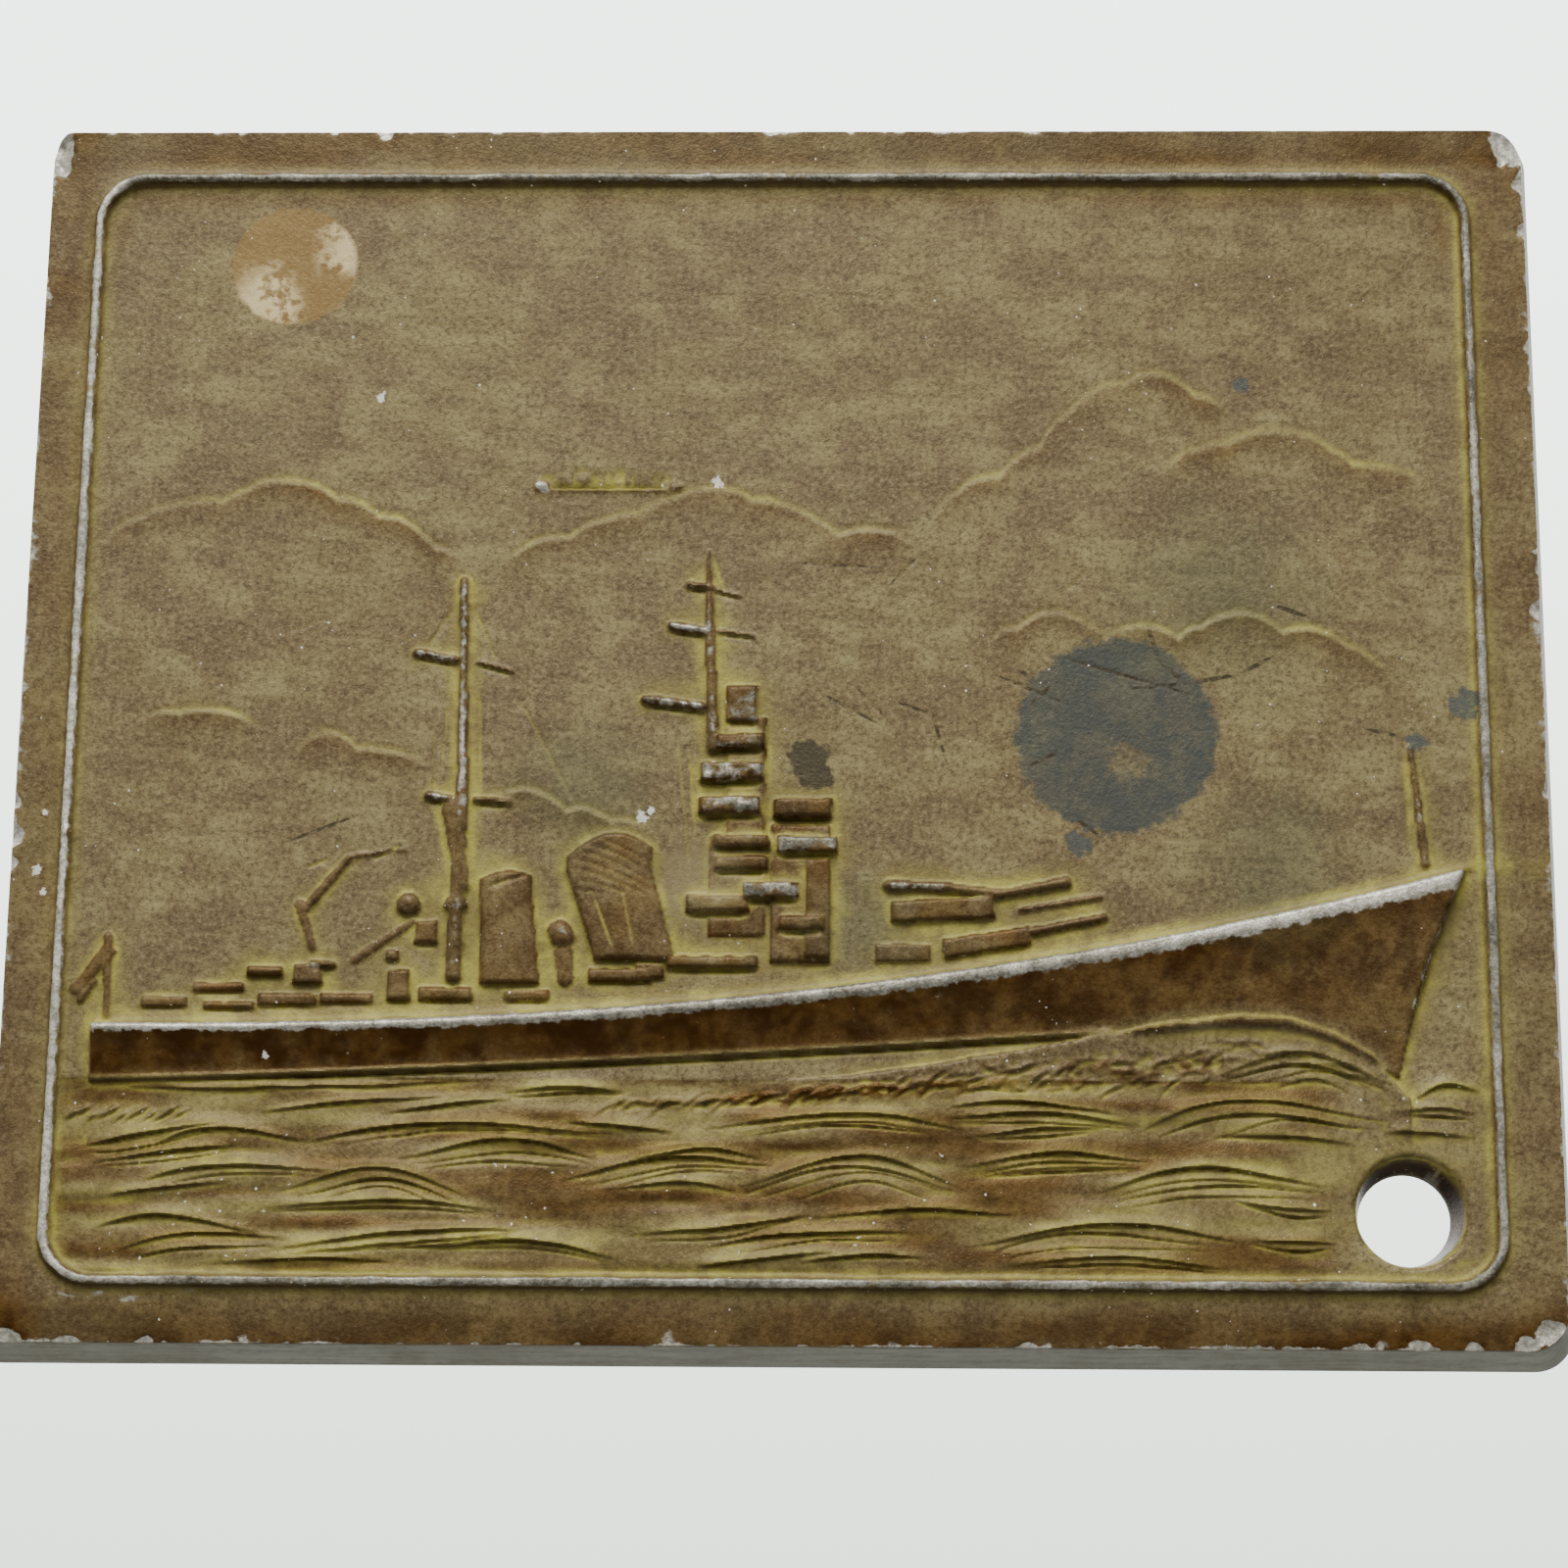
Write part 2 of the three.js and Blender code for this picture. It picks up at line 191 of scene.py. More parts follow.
edge_line = box_distance(BEAD_X, BEAD_Z, BEAD_WIDTH, BEAD_HEIGHT, BEAD_RADIUS)
from_bead = abs(edge_line)
ragged = BEAD_HALF + 0.035 * noise(0.9, 0.9, 3) + 0.05 * noise(3, 3, 4)
on_flank = np.clip(1 - (from_bead - ragged) / BEAD_FLANK, 0, 1)
bead_fillet = 0.22 * np.exp(-np.maximum(from_bead - ragged, 0) / 0.45)
bead_top = BEAD_RISE + 0.04 * noise(1.5, 1.5, 5)
height = np.maximum(height, PANEL + np.minimum(bead_top, bead_fillet + bead_top * on_flank))
bead_worn = np.clip(1 - (from_bead - ragged) / 0.1, 0, 1) * (0.92 + 0.3 * noise(2.2, 2.2, 6))
# Painted shade: a thin dark line along the foot of the bead on both sides, and a darker band under the top
# bead inside the picture.
brown += 0.6 * np.exp(-((from_bead - 0.5) / 0.13) ** 2)
brown += 0.3 * np.exp(-((from_bead - 1.7) / 0.8) ** 2) * (edge_line < 0) * (grid_z > 40)
on_bead = from_bead < 0.7
worn = np.maximum(worn, bead_worn * on_bead)
bead_bright = np.where(grid_x < -56, 0.8, np.where(grid_x > 56, 0.3, np.where(grid_z > 0, 0.12, 0.2)))
bright = np.where(on_bead, bead_bright + 0.35 * noise(2.6, 2.6, 7), bright)
waxed = np.where(edge_line < 0, 0.5, 0.22)
waxed += 0.3 * np.maximum(np.clip((grid_x - 30) / 25, 0, 1), np.clip((-30 - grid_z) / 12, 0, 1))
olive += waxed * np.exp(-((from_bead - 0.75) / 0.45) ** 2) * (from_bead > 0.42)
picture_width = BEAD_WIDTH - 2 * PICTURE_INSET
picture_height = BEAD_HEIGHT - 2 * PICTURE_INSET
in_picture = box_distance(BEAD_X, BEAD_Z, picture_width, picture_height, BEAD_RADIUS - PICTURE_INSET) < 0

# The clouds are ledges: the edge of a bank steps up from the sky in a run of puffs, and
# its face sinks back into the panel below. Each puff starts at x, z and arches so high.
CLOUD_RISE = 0.09


def cloud(puffs, body):
    """A bank from puff to puff; the last entry only ends it. Its face fades over body."""
    x, z, arch = np.array(puffs).T
    along = np.clip(np.interp(grid_x, x, np.arange(len(x))), 0, len(x) - 1.001)
    swell = np.array(arch)[along.astype(int)] * np.sin(math.pi * (along % 1)) ** 0.75
    wobble = 0.15 * noise(1.5, 60, len(x)) + 0.25 * noise(4.2, 90, len(x) + 50)
    crest = np.interp(grid_x, x, z) + swell + wobble
    fade = np.clip(np.minimum(grid_x - x[0], x[-1] - grid_x) / 2.5, 0, 1) * in_picture
    fade = fade * (0.8 + 0.3 * noise(5, 60, len(x) + 20))
    under = crest - grid_z
    face = np.clip(under / 0.32, 0, 1) * np.exp(-np.maximum(under, 0) / body)
    gully = 0.06 * np.exp(-((under + 0.25) / 0.25) ** 2)
    height[:] += fade * (CLOUD_RISE * face - gully)
    olive[:] += (0.75 + 0.5 * noise(5, 60, 68)) * fade * np.exp(-((under + 0.1) / 0.34) ** 2)
    below = np.maximum(under - 0.25, 0)
    brown[:] += (0.75 + 0.3 * noise(4, 60, 70)) * fade * np.clip(below / 0.2, 0, 1) * np.exp(-below / 1.3)


cloud([(-57, 14.2, 0.7), (-51.6, 17.5, 0.5), (-46.5, 18, 1.8), (-37, 18.7, 0.5),
       (-33.4, 16.7, 0.8), (-28.6, 14.2, 0.5), (-25.6, 12.2, 0)], 3)
cloud([(-23.4, 12.6, 0.6), (-17.5, 15.4, 0.7), (-11.8, 17, 1.7), (-2.4, 18.5, 0.9),
       (4.9, 15.5, 1.4), (11.9, 13.8, 0)], 3)
cloud([(11.6, 14.4, 0.9), (14.6, 18.9, 0.6), (18.2, 20.4, 0.7), (21.6, 22.8, 0.6), (23.6, 25.6, 1.1),
       (28.6, 28.6, 1.5), (34.4, 28, 0.6), (38, 25.2, 0)], 4)
cloud([(30.8, 20, 1.2), (37, 23.3, 1.4), (45.6, 23, 0.3), (47.4, 21.6, 0.6), (54.4, 19.4, 0)], 3)
cloud([(17, 5.6, 0.6), (19.6, 7.2, 1.7), (26.8, 6.5, 1.1), (32.8, 6.6, 0.5), (34.6, 7.6, 1.5),
       (41.2, 7, 0.6), (46, 6.3, 0.5), (50.6, 3, 0)], 2.4)
cloud([(-53, -1.4, 0.7), (-49.2, -0.2, 1.1), (-42, -1.7, 0)], 2)
cloud([(-40.4, -4.4, 1.8), (-34.6, -3.2, 0.9), (-27.4, -5.4, 0)], 2)
cloud([(-23.8, -7, 1.2), (-17.2, -8.2, 0.6), (-13.4, -9.2, 0.5), (-9.6, -10.4, 0)], 2)

# The sea is carved in long strokes. Each stroke is a crest with a sharp drop under it,
# and strokes lie together in swells: (left, right, z left, z right, arch, strokes, gap).
# Right of FLAT_FROM, round the hole, the water is flat.
STROKE_RISE = 0.28
SWELL_BODY = 0.26
SEA_TOP = -30.5
FLAT_FROM = 46
SWELLS = [
    (-41, -26, -33.3, -31.8, 0.2, 1, 0.7), (-31, -21, -33.2, -32, 0.1, 1, 0.7),
    (-55, -44, -36, -34, 0.1, 2, 0.8), (-49, -37, -35.7, -35.6, 1, 1, 0.7),
    (-37, -12, -35.6, -34.9, 1.2, 2, 0.7), (-55, -43, -37.5, -36, 0.2, 2, 0.6),
    (-50, -35, -38.7, -38, 0.9, 2, 0.6), (-53, -43, -40, -38.8, 0.1, 1, 0.7),
    (-40, -24, -39.5, -40, 2.1, 3, 0.8), (-41, -22, -41, -41, 0.8, 2, 0.6),
    (-30, -14, -37, -36.8, 1.5, 3, 0.8), (-54, -41, -42.6, -42.8, 1.2, 1, 0.8),
    (-52, -38, -44.4, -43.4, 1, 2, 0.9), (-41, -20, -44.5, -42.6, 0.6, 3, 0.7),
    (-46, -30, -45.4, -45.2, 0.4, 1, 0.5), (-30, -12, -43.9, -44.9, 1, 2, 0.6),
    (-22, -12, -31.7, -31.5, 0.4, 2, 0.5), (-16.5, -8, -34, -34.6, 0.1, 1, 0.6),
    (-6, 15, -34.4, -34.3, 1.2, 3, 0.5), (-17, 0, -38.6, -37.4, 1.3, 3, 0.75),
    (-12, -1, -36.9, -36.8, 0.8, 1, 0.6), (-14, -3, -39.4, -39.4, 0.7, 1, 0.6),
    (-3, 15, -39.2, -39, 2.6, 4, 0.75), (-12, 3, -43.1, -41.2, -0.3, 2, 0.7),
    (-6, 11, -44, -42.8, 0.7, 2, 0.7), (-6, 5, -45.4, -44.4, 0.2, 1, 0.5),
    (2, 12, -45, -44.7, 0.3, 1, 0.5), (3, 19, -41.4, -41.2, 0.5, 1, 0.8),
    (14, 29, -33.5, -34, 0.6, 2, 0.6), (14, 28, -32.6, -33.3, 0.7, 1, 0.6),
    (15, 26, -35, -34.3, 0.3, 2, 0.5), (29, 49, -34.5, -33.6, 2.1, 3, 0.9),
    (35, 46, -34.8, -35.5, 0.4, 1, 0.6), (15, 30, -37.4, -36.8, 0.9, 4, 0.6),
    (26, 44, -39.4, -38.8, 1.7, 4, 0.75), (15, 37, -43.8, -43.2, 1.6, 3, 0.8),
    (18, 36, -45.3, -45.4, 0.8, 2, 0.5), (36, 44.4, -40, -40.8, -0.2, 2, 0.7),
    (37, 44.4, -43, -43.4, 0, 2, 0.8), (35, 49, -30, -30.6, 2.1, 4, 0.7),
    (50.8, 56, -31.8, -31.2, 0.9, 1, 1), (48.8, 55.6, -32.8, -33, 0.4, 2, 0.7),
    (48.5, 55.6, -34.5, -34.7, 0.2, 1, 0.6), (-52, -22, -31.2, -30.6, -0.3, 1, 0.6),
]


def stroke(left, right, z_left, z_right, arch, rise, broad=0.0):
    """One crest from left to right that arches by arch, with a sharp drop below it, painted dark as painted
    shade.
    """
    along = np.clip((grid_x - left) / (right - left), 0, 1)
    bow = np.sin(math.pi * along ** (1 + 0.3 * math.sin(left + 2 * z_left)))
    crest = z_left + (z_right - z_left) * along + arch * bow ** 1.3
    strength = bow ** 0.8 * in_picture
    seed = int(left * 7 + z_left * 3) % 97
    over = grid_z - crest + 0.05 * noise(2.2, 30, seed) + 0.16 * noise(6, 30, seed + 1)
    above = np.maximum(over, 0)
    below = np.maximum(-over, 0)
    lift = np.exp(-above / 0.5) * np.clip(over / 0.12 + 1, 0, 1)
    drop = 0.8 * np.exp(-((over + 0.16) / 0.085) ** 2) + 0.16 * np.exp(-below / 0.6) * (over < 0)
    height[:] += strength * rise * (lift - drop)
    height[:] += strength * broad * np.exp(-above / 1.7) * np.clip(over / 0.3 + 1, 0, 1)
    # Painted highlight: olive on the up-facing slope above the crest. Painted shade: the brown shadow under
    # the drop.
    olive[:] += 0.6 * strength * np.exp(-above / 0.5) * (over > 0)
    shadow = strength ** 0.5 * rise / STROKE_RISE * np.exp(-below / 0.28) * np.clip(-over / 0.1, 0, 1)
    brown[:] = np.maximum(brown, (0.7 + 0.35 * noise(3, 1.5, 33)) * shadow)


in_sea = in_picture & (grid_z < SEA_TOP)
rough = 0.16 * noise(11, 1.7, 31) + 0.09 * noise(5, 0.8, 32)
carved = np.clip((FLAT_FROM - grid_x) / 3, 0, 1)
bands = noise(9, 1.2, 35)
height += np.where(in_sea, rough * carved, 0)
brown += np.where(in_sea, carved * np.clip(0.42 + 0.75 * bands, 0.14, 0.85), 0)
olive += np.where(in_sea, 0.6 * np.clip(0.2 - bands, 0, 1), 0)
for left, right, z_left, z_right, arch, strokes, gap in SWELLS:
    for i in range(strokes):
        inset = i * (0.07 + 0.05 * math.sin(3 * left + i)) * (right - left)
        drop = i * gap * (1 + 0.2 * math.sin(5 * right + 2 * i))
        rise = STROKE_RISE * (1 - 0.14 * i + 0.22 * math.sin(left + 4 * i))
        broad = SWELL_BODY if i == 0 else 0
        bend = arch - 0.55 * drop
        sink = 0.45 * drop
        stroke(left + inset, right - 0.6 * inset, z_left - sink, z_right - sink, bend, rise, broad)

# The hull stands out furthest at the sheer, a strip rubbed to metal, and falls back to a
# batten and a groove at the waterline. A wave turns up in front of it, and rough foam
# runs back from that along the water.
STERN_X = -55.0
BOW_X = 55.4
FOREFOOT_X = 49.6
FOREFOOT_Z = -30.2
CUTWATER_X = 36.0
SHEER_RISE = 1.8
WATERLINE_RISE = 0.25
SHEER_LOW = -26.2
SHEER_SPRING = 13.1
BOW_TOP = -13.1
WATER_LOW = -30.9
WATER_SPRING = 6.2
BATTEN_END = 27
GROOVE_START = -50
GROOVE_END = 24
WAVE_X = [-2, 6, 14, 22, 30, 37, 41, 44.6, 47.6, 50.2]
WAVE_Z = [-30.6, -30, -28.9, -27.4, -26, -25.2, -25.4, -26.6, -28.4, -31.6]
WAVE_END = 50.4
FOAM_X = [-14, -4, 6, 16, 30, 37]
FOAM_Z = [-32.5, -32.2, -31.3, -30.4, -29.6, -28.8]
LICKS = 88
LICK_GAP = 0.57

hull_along = np.clip((grid_x - STERN_X) / (BOW_X - STERN_X), 0, 1)
sheer = SHEER_LOW + SHEER_SPRING * hull_along ** 2.3
cutwater = np.clip((grid_x - CUTWATER_X) / (FOREFOOT_X - CUTWATER_X), 0, 1)
over_sheer = np.exp(-(np.maximum(grid_z - sheer, 0) / 1.0) ** 2)
olive += over_sheer * (grid_z > sheer) * (grid_x > STERN_X - 0.5)
water_level = WATER_LOW + WATER_SPRING * hull_along ** 1.35
water = water_level + (FOREFOOT_Z - water_level) * cutwater ** 2
stem_down = np.clip((BOW_TOP - grid_z) / (BOW_TOP - FOREFOOT_Z), 0, 1)
stem = BOW_X + (FOREFOOT_X - BOW_X) * stem_down - 0.5 * np.sin(math.pi * stem_down)
edge_noise = 0.05 * noise(1.2, 1.2, 41) + 0.02 * noise(0.4, 0.4, 42)
to_edge = np.minimum(np.minimum(sheer - grid_z, grid_z - water), np.minimum(grid_x - STERN_X, stem - grid_x))
under_sheer = sheer - grid_z
strip = 0.55 + 0.55 * hull_along + edge_noise
hull_down = np.clip((under_sheer - strip) / np.maximum(sheer - water - strip, 0.5), 0, 1)
hull_rise = SHEER_RISE + (WATERLINE_RISE - SHEER_RISE) * hull_down ** 0.85
hull_rise = hull_rise - 0.12 * np.clip(1 - under_sheer / strip, 0, 1)
hull_rise += 0.05 * noise(1.4, 1.4, 43) * np.clip(hull_down * 6, 0, 1)
hull = np.clip((to_edge + 0.4 * edge_noise) / 0.16 + 0.5, 0, 1)
height += hull * hull_rise
# The hull face is painted dark brown, partly its lacquer and partly painted shade as it leans down: darkest
# just under the sheer, lighter towards the waterline and low at the bow.
hull_tone = 1.0 - 0.34 * hull_along ** 3 * np.clip(under_sheer / 4, 0, 1) + 0.07 * noise(5, 1.5, 49)
brown = np.where(hull > 0.5, hull_tone * np.clip(1.15 - 0.35 * hull_down ** 2, 0, 1), brown)
sheer_worn = np.clip(1.6 - under_sheer / strip, 0, 1) ** 0.5 * (under_sheer > -0.05) * (hull > 0.3)
worn = np.maximum(worn, sheer_worn)
sheer_bright = np.interp(grid_x, [-55, -35, -5, 25, 38, 55], [0.75, 0.5, 0.2, 0.35, 0.8, 0.85])
bright = np.where(sheer_worn > 0, sheer_bright + 0.25 * noise(1.6, 1.6, 72), bright)
stem_worn = np.clip(1 - (stem - grid_x - 0.1) / (0.5 + 0.4 * noise(1.8, 1.8, 44)), 0, 1) * hull
worn = np.maximum(worn, 0.75 * stem_worn * (grid_z > -26))
foot = np.exp(-np.maximum(-to_edge - 0.1, 0) / 0.55) * (to_edge < 0) * (under_sheer < 0) * (grid_x > STERN_X)
height += 0.28 * foot * (grid_x < stem + 1)

moulding = grid_z - water_level
batten = np.exp(-((moulding - 0.3) / 0.2) ** 2) * (grid_x > STERN_X) * (grid_x < BATTEN_END)
height += 0.22 * batten
brown *= 1 - 0.8 * batten
groove = np.clip((grid_x - GROOVE_START) / 8, 0, 1) * np.clip((GROOVE_END - grid_x) / 6, 0, 1)
height -= 0.42 * np.exp(-((moulding + 0.05) / 0.13) ** 2) * groove

wave = grid_z - np.interp(grid_x, WAVE_X, WAVE_Z) + 0.1 * noise(2, 40, 45)
in_wave = (grid_x > WAVE_X[0]) & (grid_x < WAVE_END) & (wave < 0)
wave_face = np.clip(-wave / 0.25, 0, 1) * np.exp(wave / 2.6) * np.clip((grid_x - WAVE_X[0]) / 16, 0, 1)
height += np.where(in_wave, (0.65 + 0.25 * np.clip((grid_x - 28) / 8, 0, 1)) * wave_face, 0)
brown = np.where(in_wave & (hull > 0.5), 0.5 + 0.3 * noise(4, 1.2, 50), brown)
hull = np.where(in_wave, 0, hull)
wave_edge = np.clip((grid_x - 22) / 6, 0, 1) * np.clip((50.6 - grid_x) / 0.5, 0, 1)
foot_wax = np.maximum(0.75 * np.exp(-((wave - 0.05) / 0.3) ** 2) * wave_edge, 0.5 * batten)

foam_line = np.interp(grid_x, FOAM_X, FOAM_Z)
foam_half = np.interp(grid_x, [-14, 5, 18, 32, 38], [0.4, 0.6, 1.5, 1.3, 0.8])
foam = np.exp(-((grid_z - foam_line) / foam_half) ** 2)
foam *= np.clip((grid_x - FOAM_X[0]) / 5, 0, 1) * np.clip((39 - grid_x) / 4, 0, 1)
height += foam * (0.14 * noise(0.8, 0.5, 46) + 0.12 * noise(2.1, 0.9, 47))
brown += foam * np.clip(0.5 + 0.6 * noise(1.8, 0.8, 48), 0, 0.8)


def lick(x, z, length, turn, rise):
    """A short lick of foam: a slanted ridge with a cut under it, painted dark as painted shade."""
    along = (grid_x - x) * math.cos(turn) + (grid_z - z) * math.sin(turn)
    over = -(grid_x - x) * math.sin(turn) + (grid_z - z) * math.cos(turn) + 0.12 * along ** 2
    reach = np.exp(-(along / length) ** 2)
    cut = np.exp(-((over + 0.28) / 0.14) ** 2)
    height[:] += rise * reach * (np.exp(-(over / 0.17) ** 2) - 0.6 * cut)
    # Painted shade: the brown just under the cut.
    brown[:] = np.maximum(brown, 0.5 * reach * np.exp(-((over + 0.34) / 0.2) ** 2))


for i in range(LICKS):
    x = -13 + LICK_GAP * i
    spread = 0.2 + 1.0 * min(max((x - 8) / 14, 0), 1)
    z = np.interp(x, FOAM_X, FOAM_Z)
    turn = 0.4 + 0.35 * math.sin(1.3 * i)
    lick(x, z + spread * math.sin(2.4 * i), 0.75 + 0.5 * math.cos(1.7 * i), turn, 0.17 + 0.07 * math.sin(i))
for i in range(12):
    lick(-56.2 + 0.78 * i, -33.4 + 0.3 * math.sin(2 * i), 0.55, 0.6, 0.3)
for i in range(9):
    lick(37 + 1.2 * i, -27.4 - 0.28 * i + 0.4 * math.sin(2.1 * i), 1.3, -0.25, 0.16)

# The masts, of the same casting as all the ship's fittings: small raised blocks with
# bevelled edges and half-round spars, some tapered, carved crisp and then rubbed. The
# yards stand out on the left and sink away on the right, with stays scored beside them.


def block(x, z, width, tall, rise, turn=0.0, rub=0.0, bevel=0.16):
    """A raised block round x, z. rub from 0 to 1 says how far its top is worn to metal."""
    across = (grid_x - x) * math.cos(turn) + (grid_z - z) * math.sin(turn)
    up = -(grid_x - x) * math.sin(turn) + (grid_z - z) * math.cos(turn)
    uneven = 0.05 * noise(0.9, 0.9, int(abs(x * 13 + z * 7)) % 89)
    edge = np.minimum(width / 2 - abs(across), tall / 2 - abs(up)) + uneven
    near = edge > 0
    top = rise * np.clip(edge / bevel, 0, 1) ** 0.7 * (1 + 2 * uneven)
    height[near] = np.maximum(height[near], PANEL + top[near])
    rubbed = rub * (0.8 + 0.5 * noise(1.1, 0.7, 54)) * np.clip(edge / bevel, 0, 1)
    glint = np.exp(-((edge - 0.1) / 0.1) ** 2) * (0.45 + 0.35 * noise(1.3, 1.3, 55))
    worn[near] = np.maximum(worn[near], np.maximum(rubbed, glint)[near])
    bright[near] = (0.12 + 0.4 * noise(0.8, 0.6, 57))[near]
    brown[near] = np.clip(0.95 - 0.35 * np.clip(edge / 0.35, 0, 1) + 0.25 * noise(1.4, 1.4, 52), 0, 1)[near]


def spar(x, z, end_x, end_z, radius, end_radius=None, rise=None, rub=0.0):
    """A half-round spar from x, z to its end, which may have another radius."""
    end_radius = radius if end_radius is None else end_radius
    run = math.hypot(end_x - x, end_z - z)
    step_x = (end_x - x) / run
    step_z = (end_z - z) / run
    along = (grid_x - x) * step_x + (grid_z - z) * step_z
    off = abs((grid_x - x) * step_z - (grid_z - z) * step_x)
    reach = radius + (end_radius - radius) * np.clip(along / run, 0, 1) + 0.06 * noise(0.7, 0.7, 51)
    past = np.maximum(np.maximum(-along, along - run), 0)
    round_top = 1 - (np.hypot(off, past) / reach) ** 2
    near = round_top > 0
    top = (rise or 1.1 * radius) * np.sqrt(np.where(near, round_top, 0))
    height[near] = np.maximum(height[near], PANEL + top[near])
    worn[near] = np.maximum(worn[near], rub * np.clip(round_top[near] * 1.5, 0, 1))
    brown[near] = 0.55


def score(x, z, end_x, end_z, depth=0.12, half=0.12):
    """A thin straight line cut into the face, strongest at its middle."""
    run = math.hypot(end_x - x, end_z - z)
    along = ((grid_x - x) * (end_x - x) + (grid_z - z) * (end_z - z)) / run ** 2
    off = abs((grid_x - x) * (end_z - z) - (grid_z - z) * (end_x - x)) / run
    inside_run = np.clip(6 * along, 0, 1) * np.clip(6 * (1 - along), 0, 1)
    height[:] -= depth * np.exp(-(off / half) ** 2) * inside_run


spar(-26.05, -22, -25.7, -4, 0.72, 0.5, 0.75, 0.3)
spar(-25.7, -8, -26.1, 11.3, 0.5, 0.36, 0.62, 0.55)
spar(-26.6, -8, -25.5, -14.6, 0.85, 0.6, 0.6, 0.25)
spar(-5.3, -3, -5.8, 9, 0.55, 0.4, 0.6, 0.4)
spar(-5.8, 9, -5.9, 14, 0.4, 0.12, 0.4, 0.1)
YARDS = [
    (-29.8, 5.1, -26.6, 4.5, 0.38, 0.6), (-24.8, 4.3, -21.9, 3.5, 0.2, 0.2),
    (-28.5, -7.1, -26.8, -7.3, 0.4, 0.6), (-24.6, -7.4, -22, -7.6, 0.32, 0.3),
    (-7.5, 11, -5.7, 10.8, 0.34, 0.5), (-5.4, 10.6, -3.3, 10, 0.16, 0.1),
    (-8.8, 7.4, -6.2, 7, 0.42, 0.7), (-5, 7, -2.1, 6.6, 0.18, 0.2),
    (-10.9, 1.1, -6.2, 0.5, 0.44, 0.6),
]
for x, z, end_x, end_z, radius, rub in YARDS:
    spar(x, z, end_x, end_z, radius, radius * 0.85, 1.5 * radius, rub)
    score(x, z - radius - 0.05, end_x, end_z - radius - 0.05, 0.25, 0.14)
STAYS = [
    (-26.5, 9.6, -29.2, 5.3), (-25.3, 9.2, -23.2, 4.2), (-27.2, 1, -27.6, -6),
    (-28.2, 0, -28, -9), (-24.6, 2, -24.2, -7), (-21.4, 1.4, -16.4, -8),
    (-8.4, -1, -7, -14), (-7.4, -2, -6.6, -12), (-5.6, 13.6, -4.4, 10),
]
for x, z, end_x, end_z in STAYS:
    score(x, z, end_x, end_z, 0.1, 0.16)

# The funnels are rounded in front under arched tops. Curved bands are scored across the
# forward one, which leans aft, and a small cowl stands between the two.
BANDS_FROM = -15.4
BAND_GAP = 0.8


def funnel(foot, head, foot_z, head_z, arch, rise):
    """A rounded stack. foot and head each give its left and right edge there."""
    up = np.clip((grid_z - foot_z) / (head_z - foot_z), 0, 1)
    left = foot[0] + (head[0] - foot[0]) * up
    right = foot[1] + (head[1] - foot[1]) * up
    across = np.clip((grid_x - left) / (right - left), 0, 1)
    top = head_z + arch * np.sin(math.pi * (0.1 + 0.7 * across))
    edge = np.minimum(np.minimum(grid_x - left, right - grid_x), np.minimum(top - grid_z, grid_z - foot_z))
    rounded = 0.45 + 0.55 * np.sqrt(1 - (1.9 * (across - 0.5)) ** 2)
    face = rise * np.clip(edge / 0.3, 0, 1) ** 0.6 * rounded
    height[edge > 0] = np.maximum(height, PANEL + face)[edge > 0]
    lacquer = 0.85 - 0.3 * np.clip(edge / 0.5, 0, 1) + 0.25 * noise(2, 1.2, 53)
    brown[edge > 0] = np.clip(lacquer, 0, 1)[edge > 0]
    return edge, across


edge, across = funnel((-14.7, -8), (-17.2, -10.1), -20.9, -13.2, 3.1, 0.75)
bands = grid_z + 0.16 * (grid_x + 17) + 1.9 * across ** 2
scored = np.exp(-((bands % BAND_GAP - BAND_GAP / 2) / 0.12) ** 2)
height -= 0.1 * np.clip(edge, 0, 1) * scored * (grid_z > BANDS_FROM)
score(-15, -15, -13, -20.4, 0.16, 0.16)
score(-12.6, -14.6, -11.4, -20.4, 0.1, 0.16)
score(-9.6, -13, -8.8, -19, 0.14, 0.16)
funnel((-23.9, -19), (-24.2, -19.8), -22.9, -14.4, 1.1, 0.6)
score(-22, -17, -21.2, -22, 0.06, 0.3)
spar(-17.5, -18.4, -17.3, -18.8, 1.0, 1.0, 0.75, 0.35)
spar(-17.2, -20, -17, -22.2, 0.8, 0.7, 0.4)
score(-23.6, -14.9, -19.9, -13.6, 0.2, 0.12)

# The bridge tower is a stack of decks in front of the fore mast. Each deck's edge is a
# bar, rubbed on its top, with a shadowed slot under it.
block(-2.6, -5.6, 3.4, 10.6, 0.3)
block(-3.2, -14.6, 4.8, 8.4, 0.22)
block(1.9, -15.2, 5, 11.6, 0.38)
block(3.3, -16.4, 2.2, 8.4, 0.6)
DECKS = [
    (-3, 0.7, 2.6, 3.2, 0.62, 0.45), (-3.1, -2.5, 4, 1.4, 0.9, 0.5), (-3.8, -5.05, 5.2, 1.7, 0.95, 0.55),
    (-3.9, -7.9, 5.1, 1.6, 0.95, 0.5), (-2.9, -10.9, 4.6, 1.2, 0.7, 0.1), (-2.9, -12.7, 4.4, 1.3, 0.65, 0.05),
    (-4.8, -16.1, 5.2, 1.5, 0.7, 0.1), (2, -8.1, 4.8, 1.7, 0.85, 0.15), (2.4, -11.2, 5, 1.5, 0.95, 0.8),
    (-0.5, -15, 4.6, 1.5, 0.95, 0.75), (2, -17.7, 3.8, 1.3, 0.8, 0.4), (-5.2, -20.9, 7.4, 1.1, 0.55, 0.15),
]
for x, z, width, tall, rise, rub in DECKS:
    block(x, z, width, tall, rise, 0, rub)
    score(x - width / 2, z - tall / 2 - 0.15, x + width / 2, z - tall / 2 - 0.15, 0.34, 0.16)
GLINTS = [(-4.4, -5.4, 1.3, 0.6), (-2, -5, 1.2, 0.6), (-4.8, -8.1, 1, 0.7), (-2.6, -8, 1.5, 0.9)]
for x, z, width, tall in GLINTS:
    block(x, z, width, tall, 1.08, 0.2, 0.7)

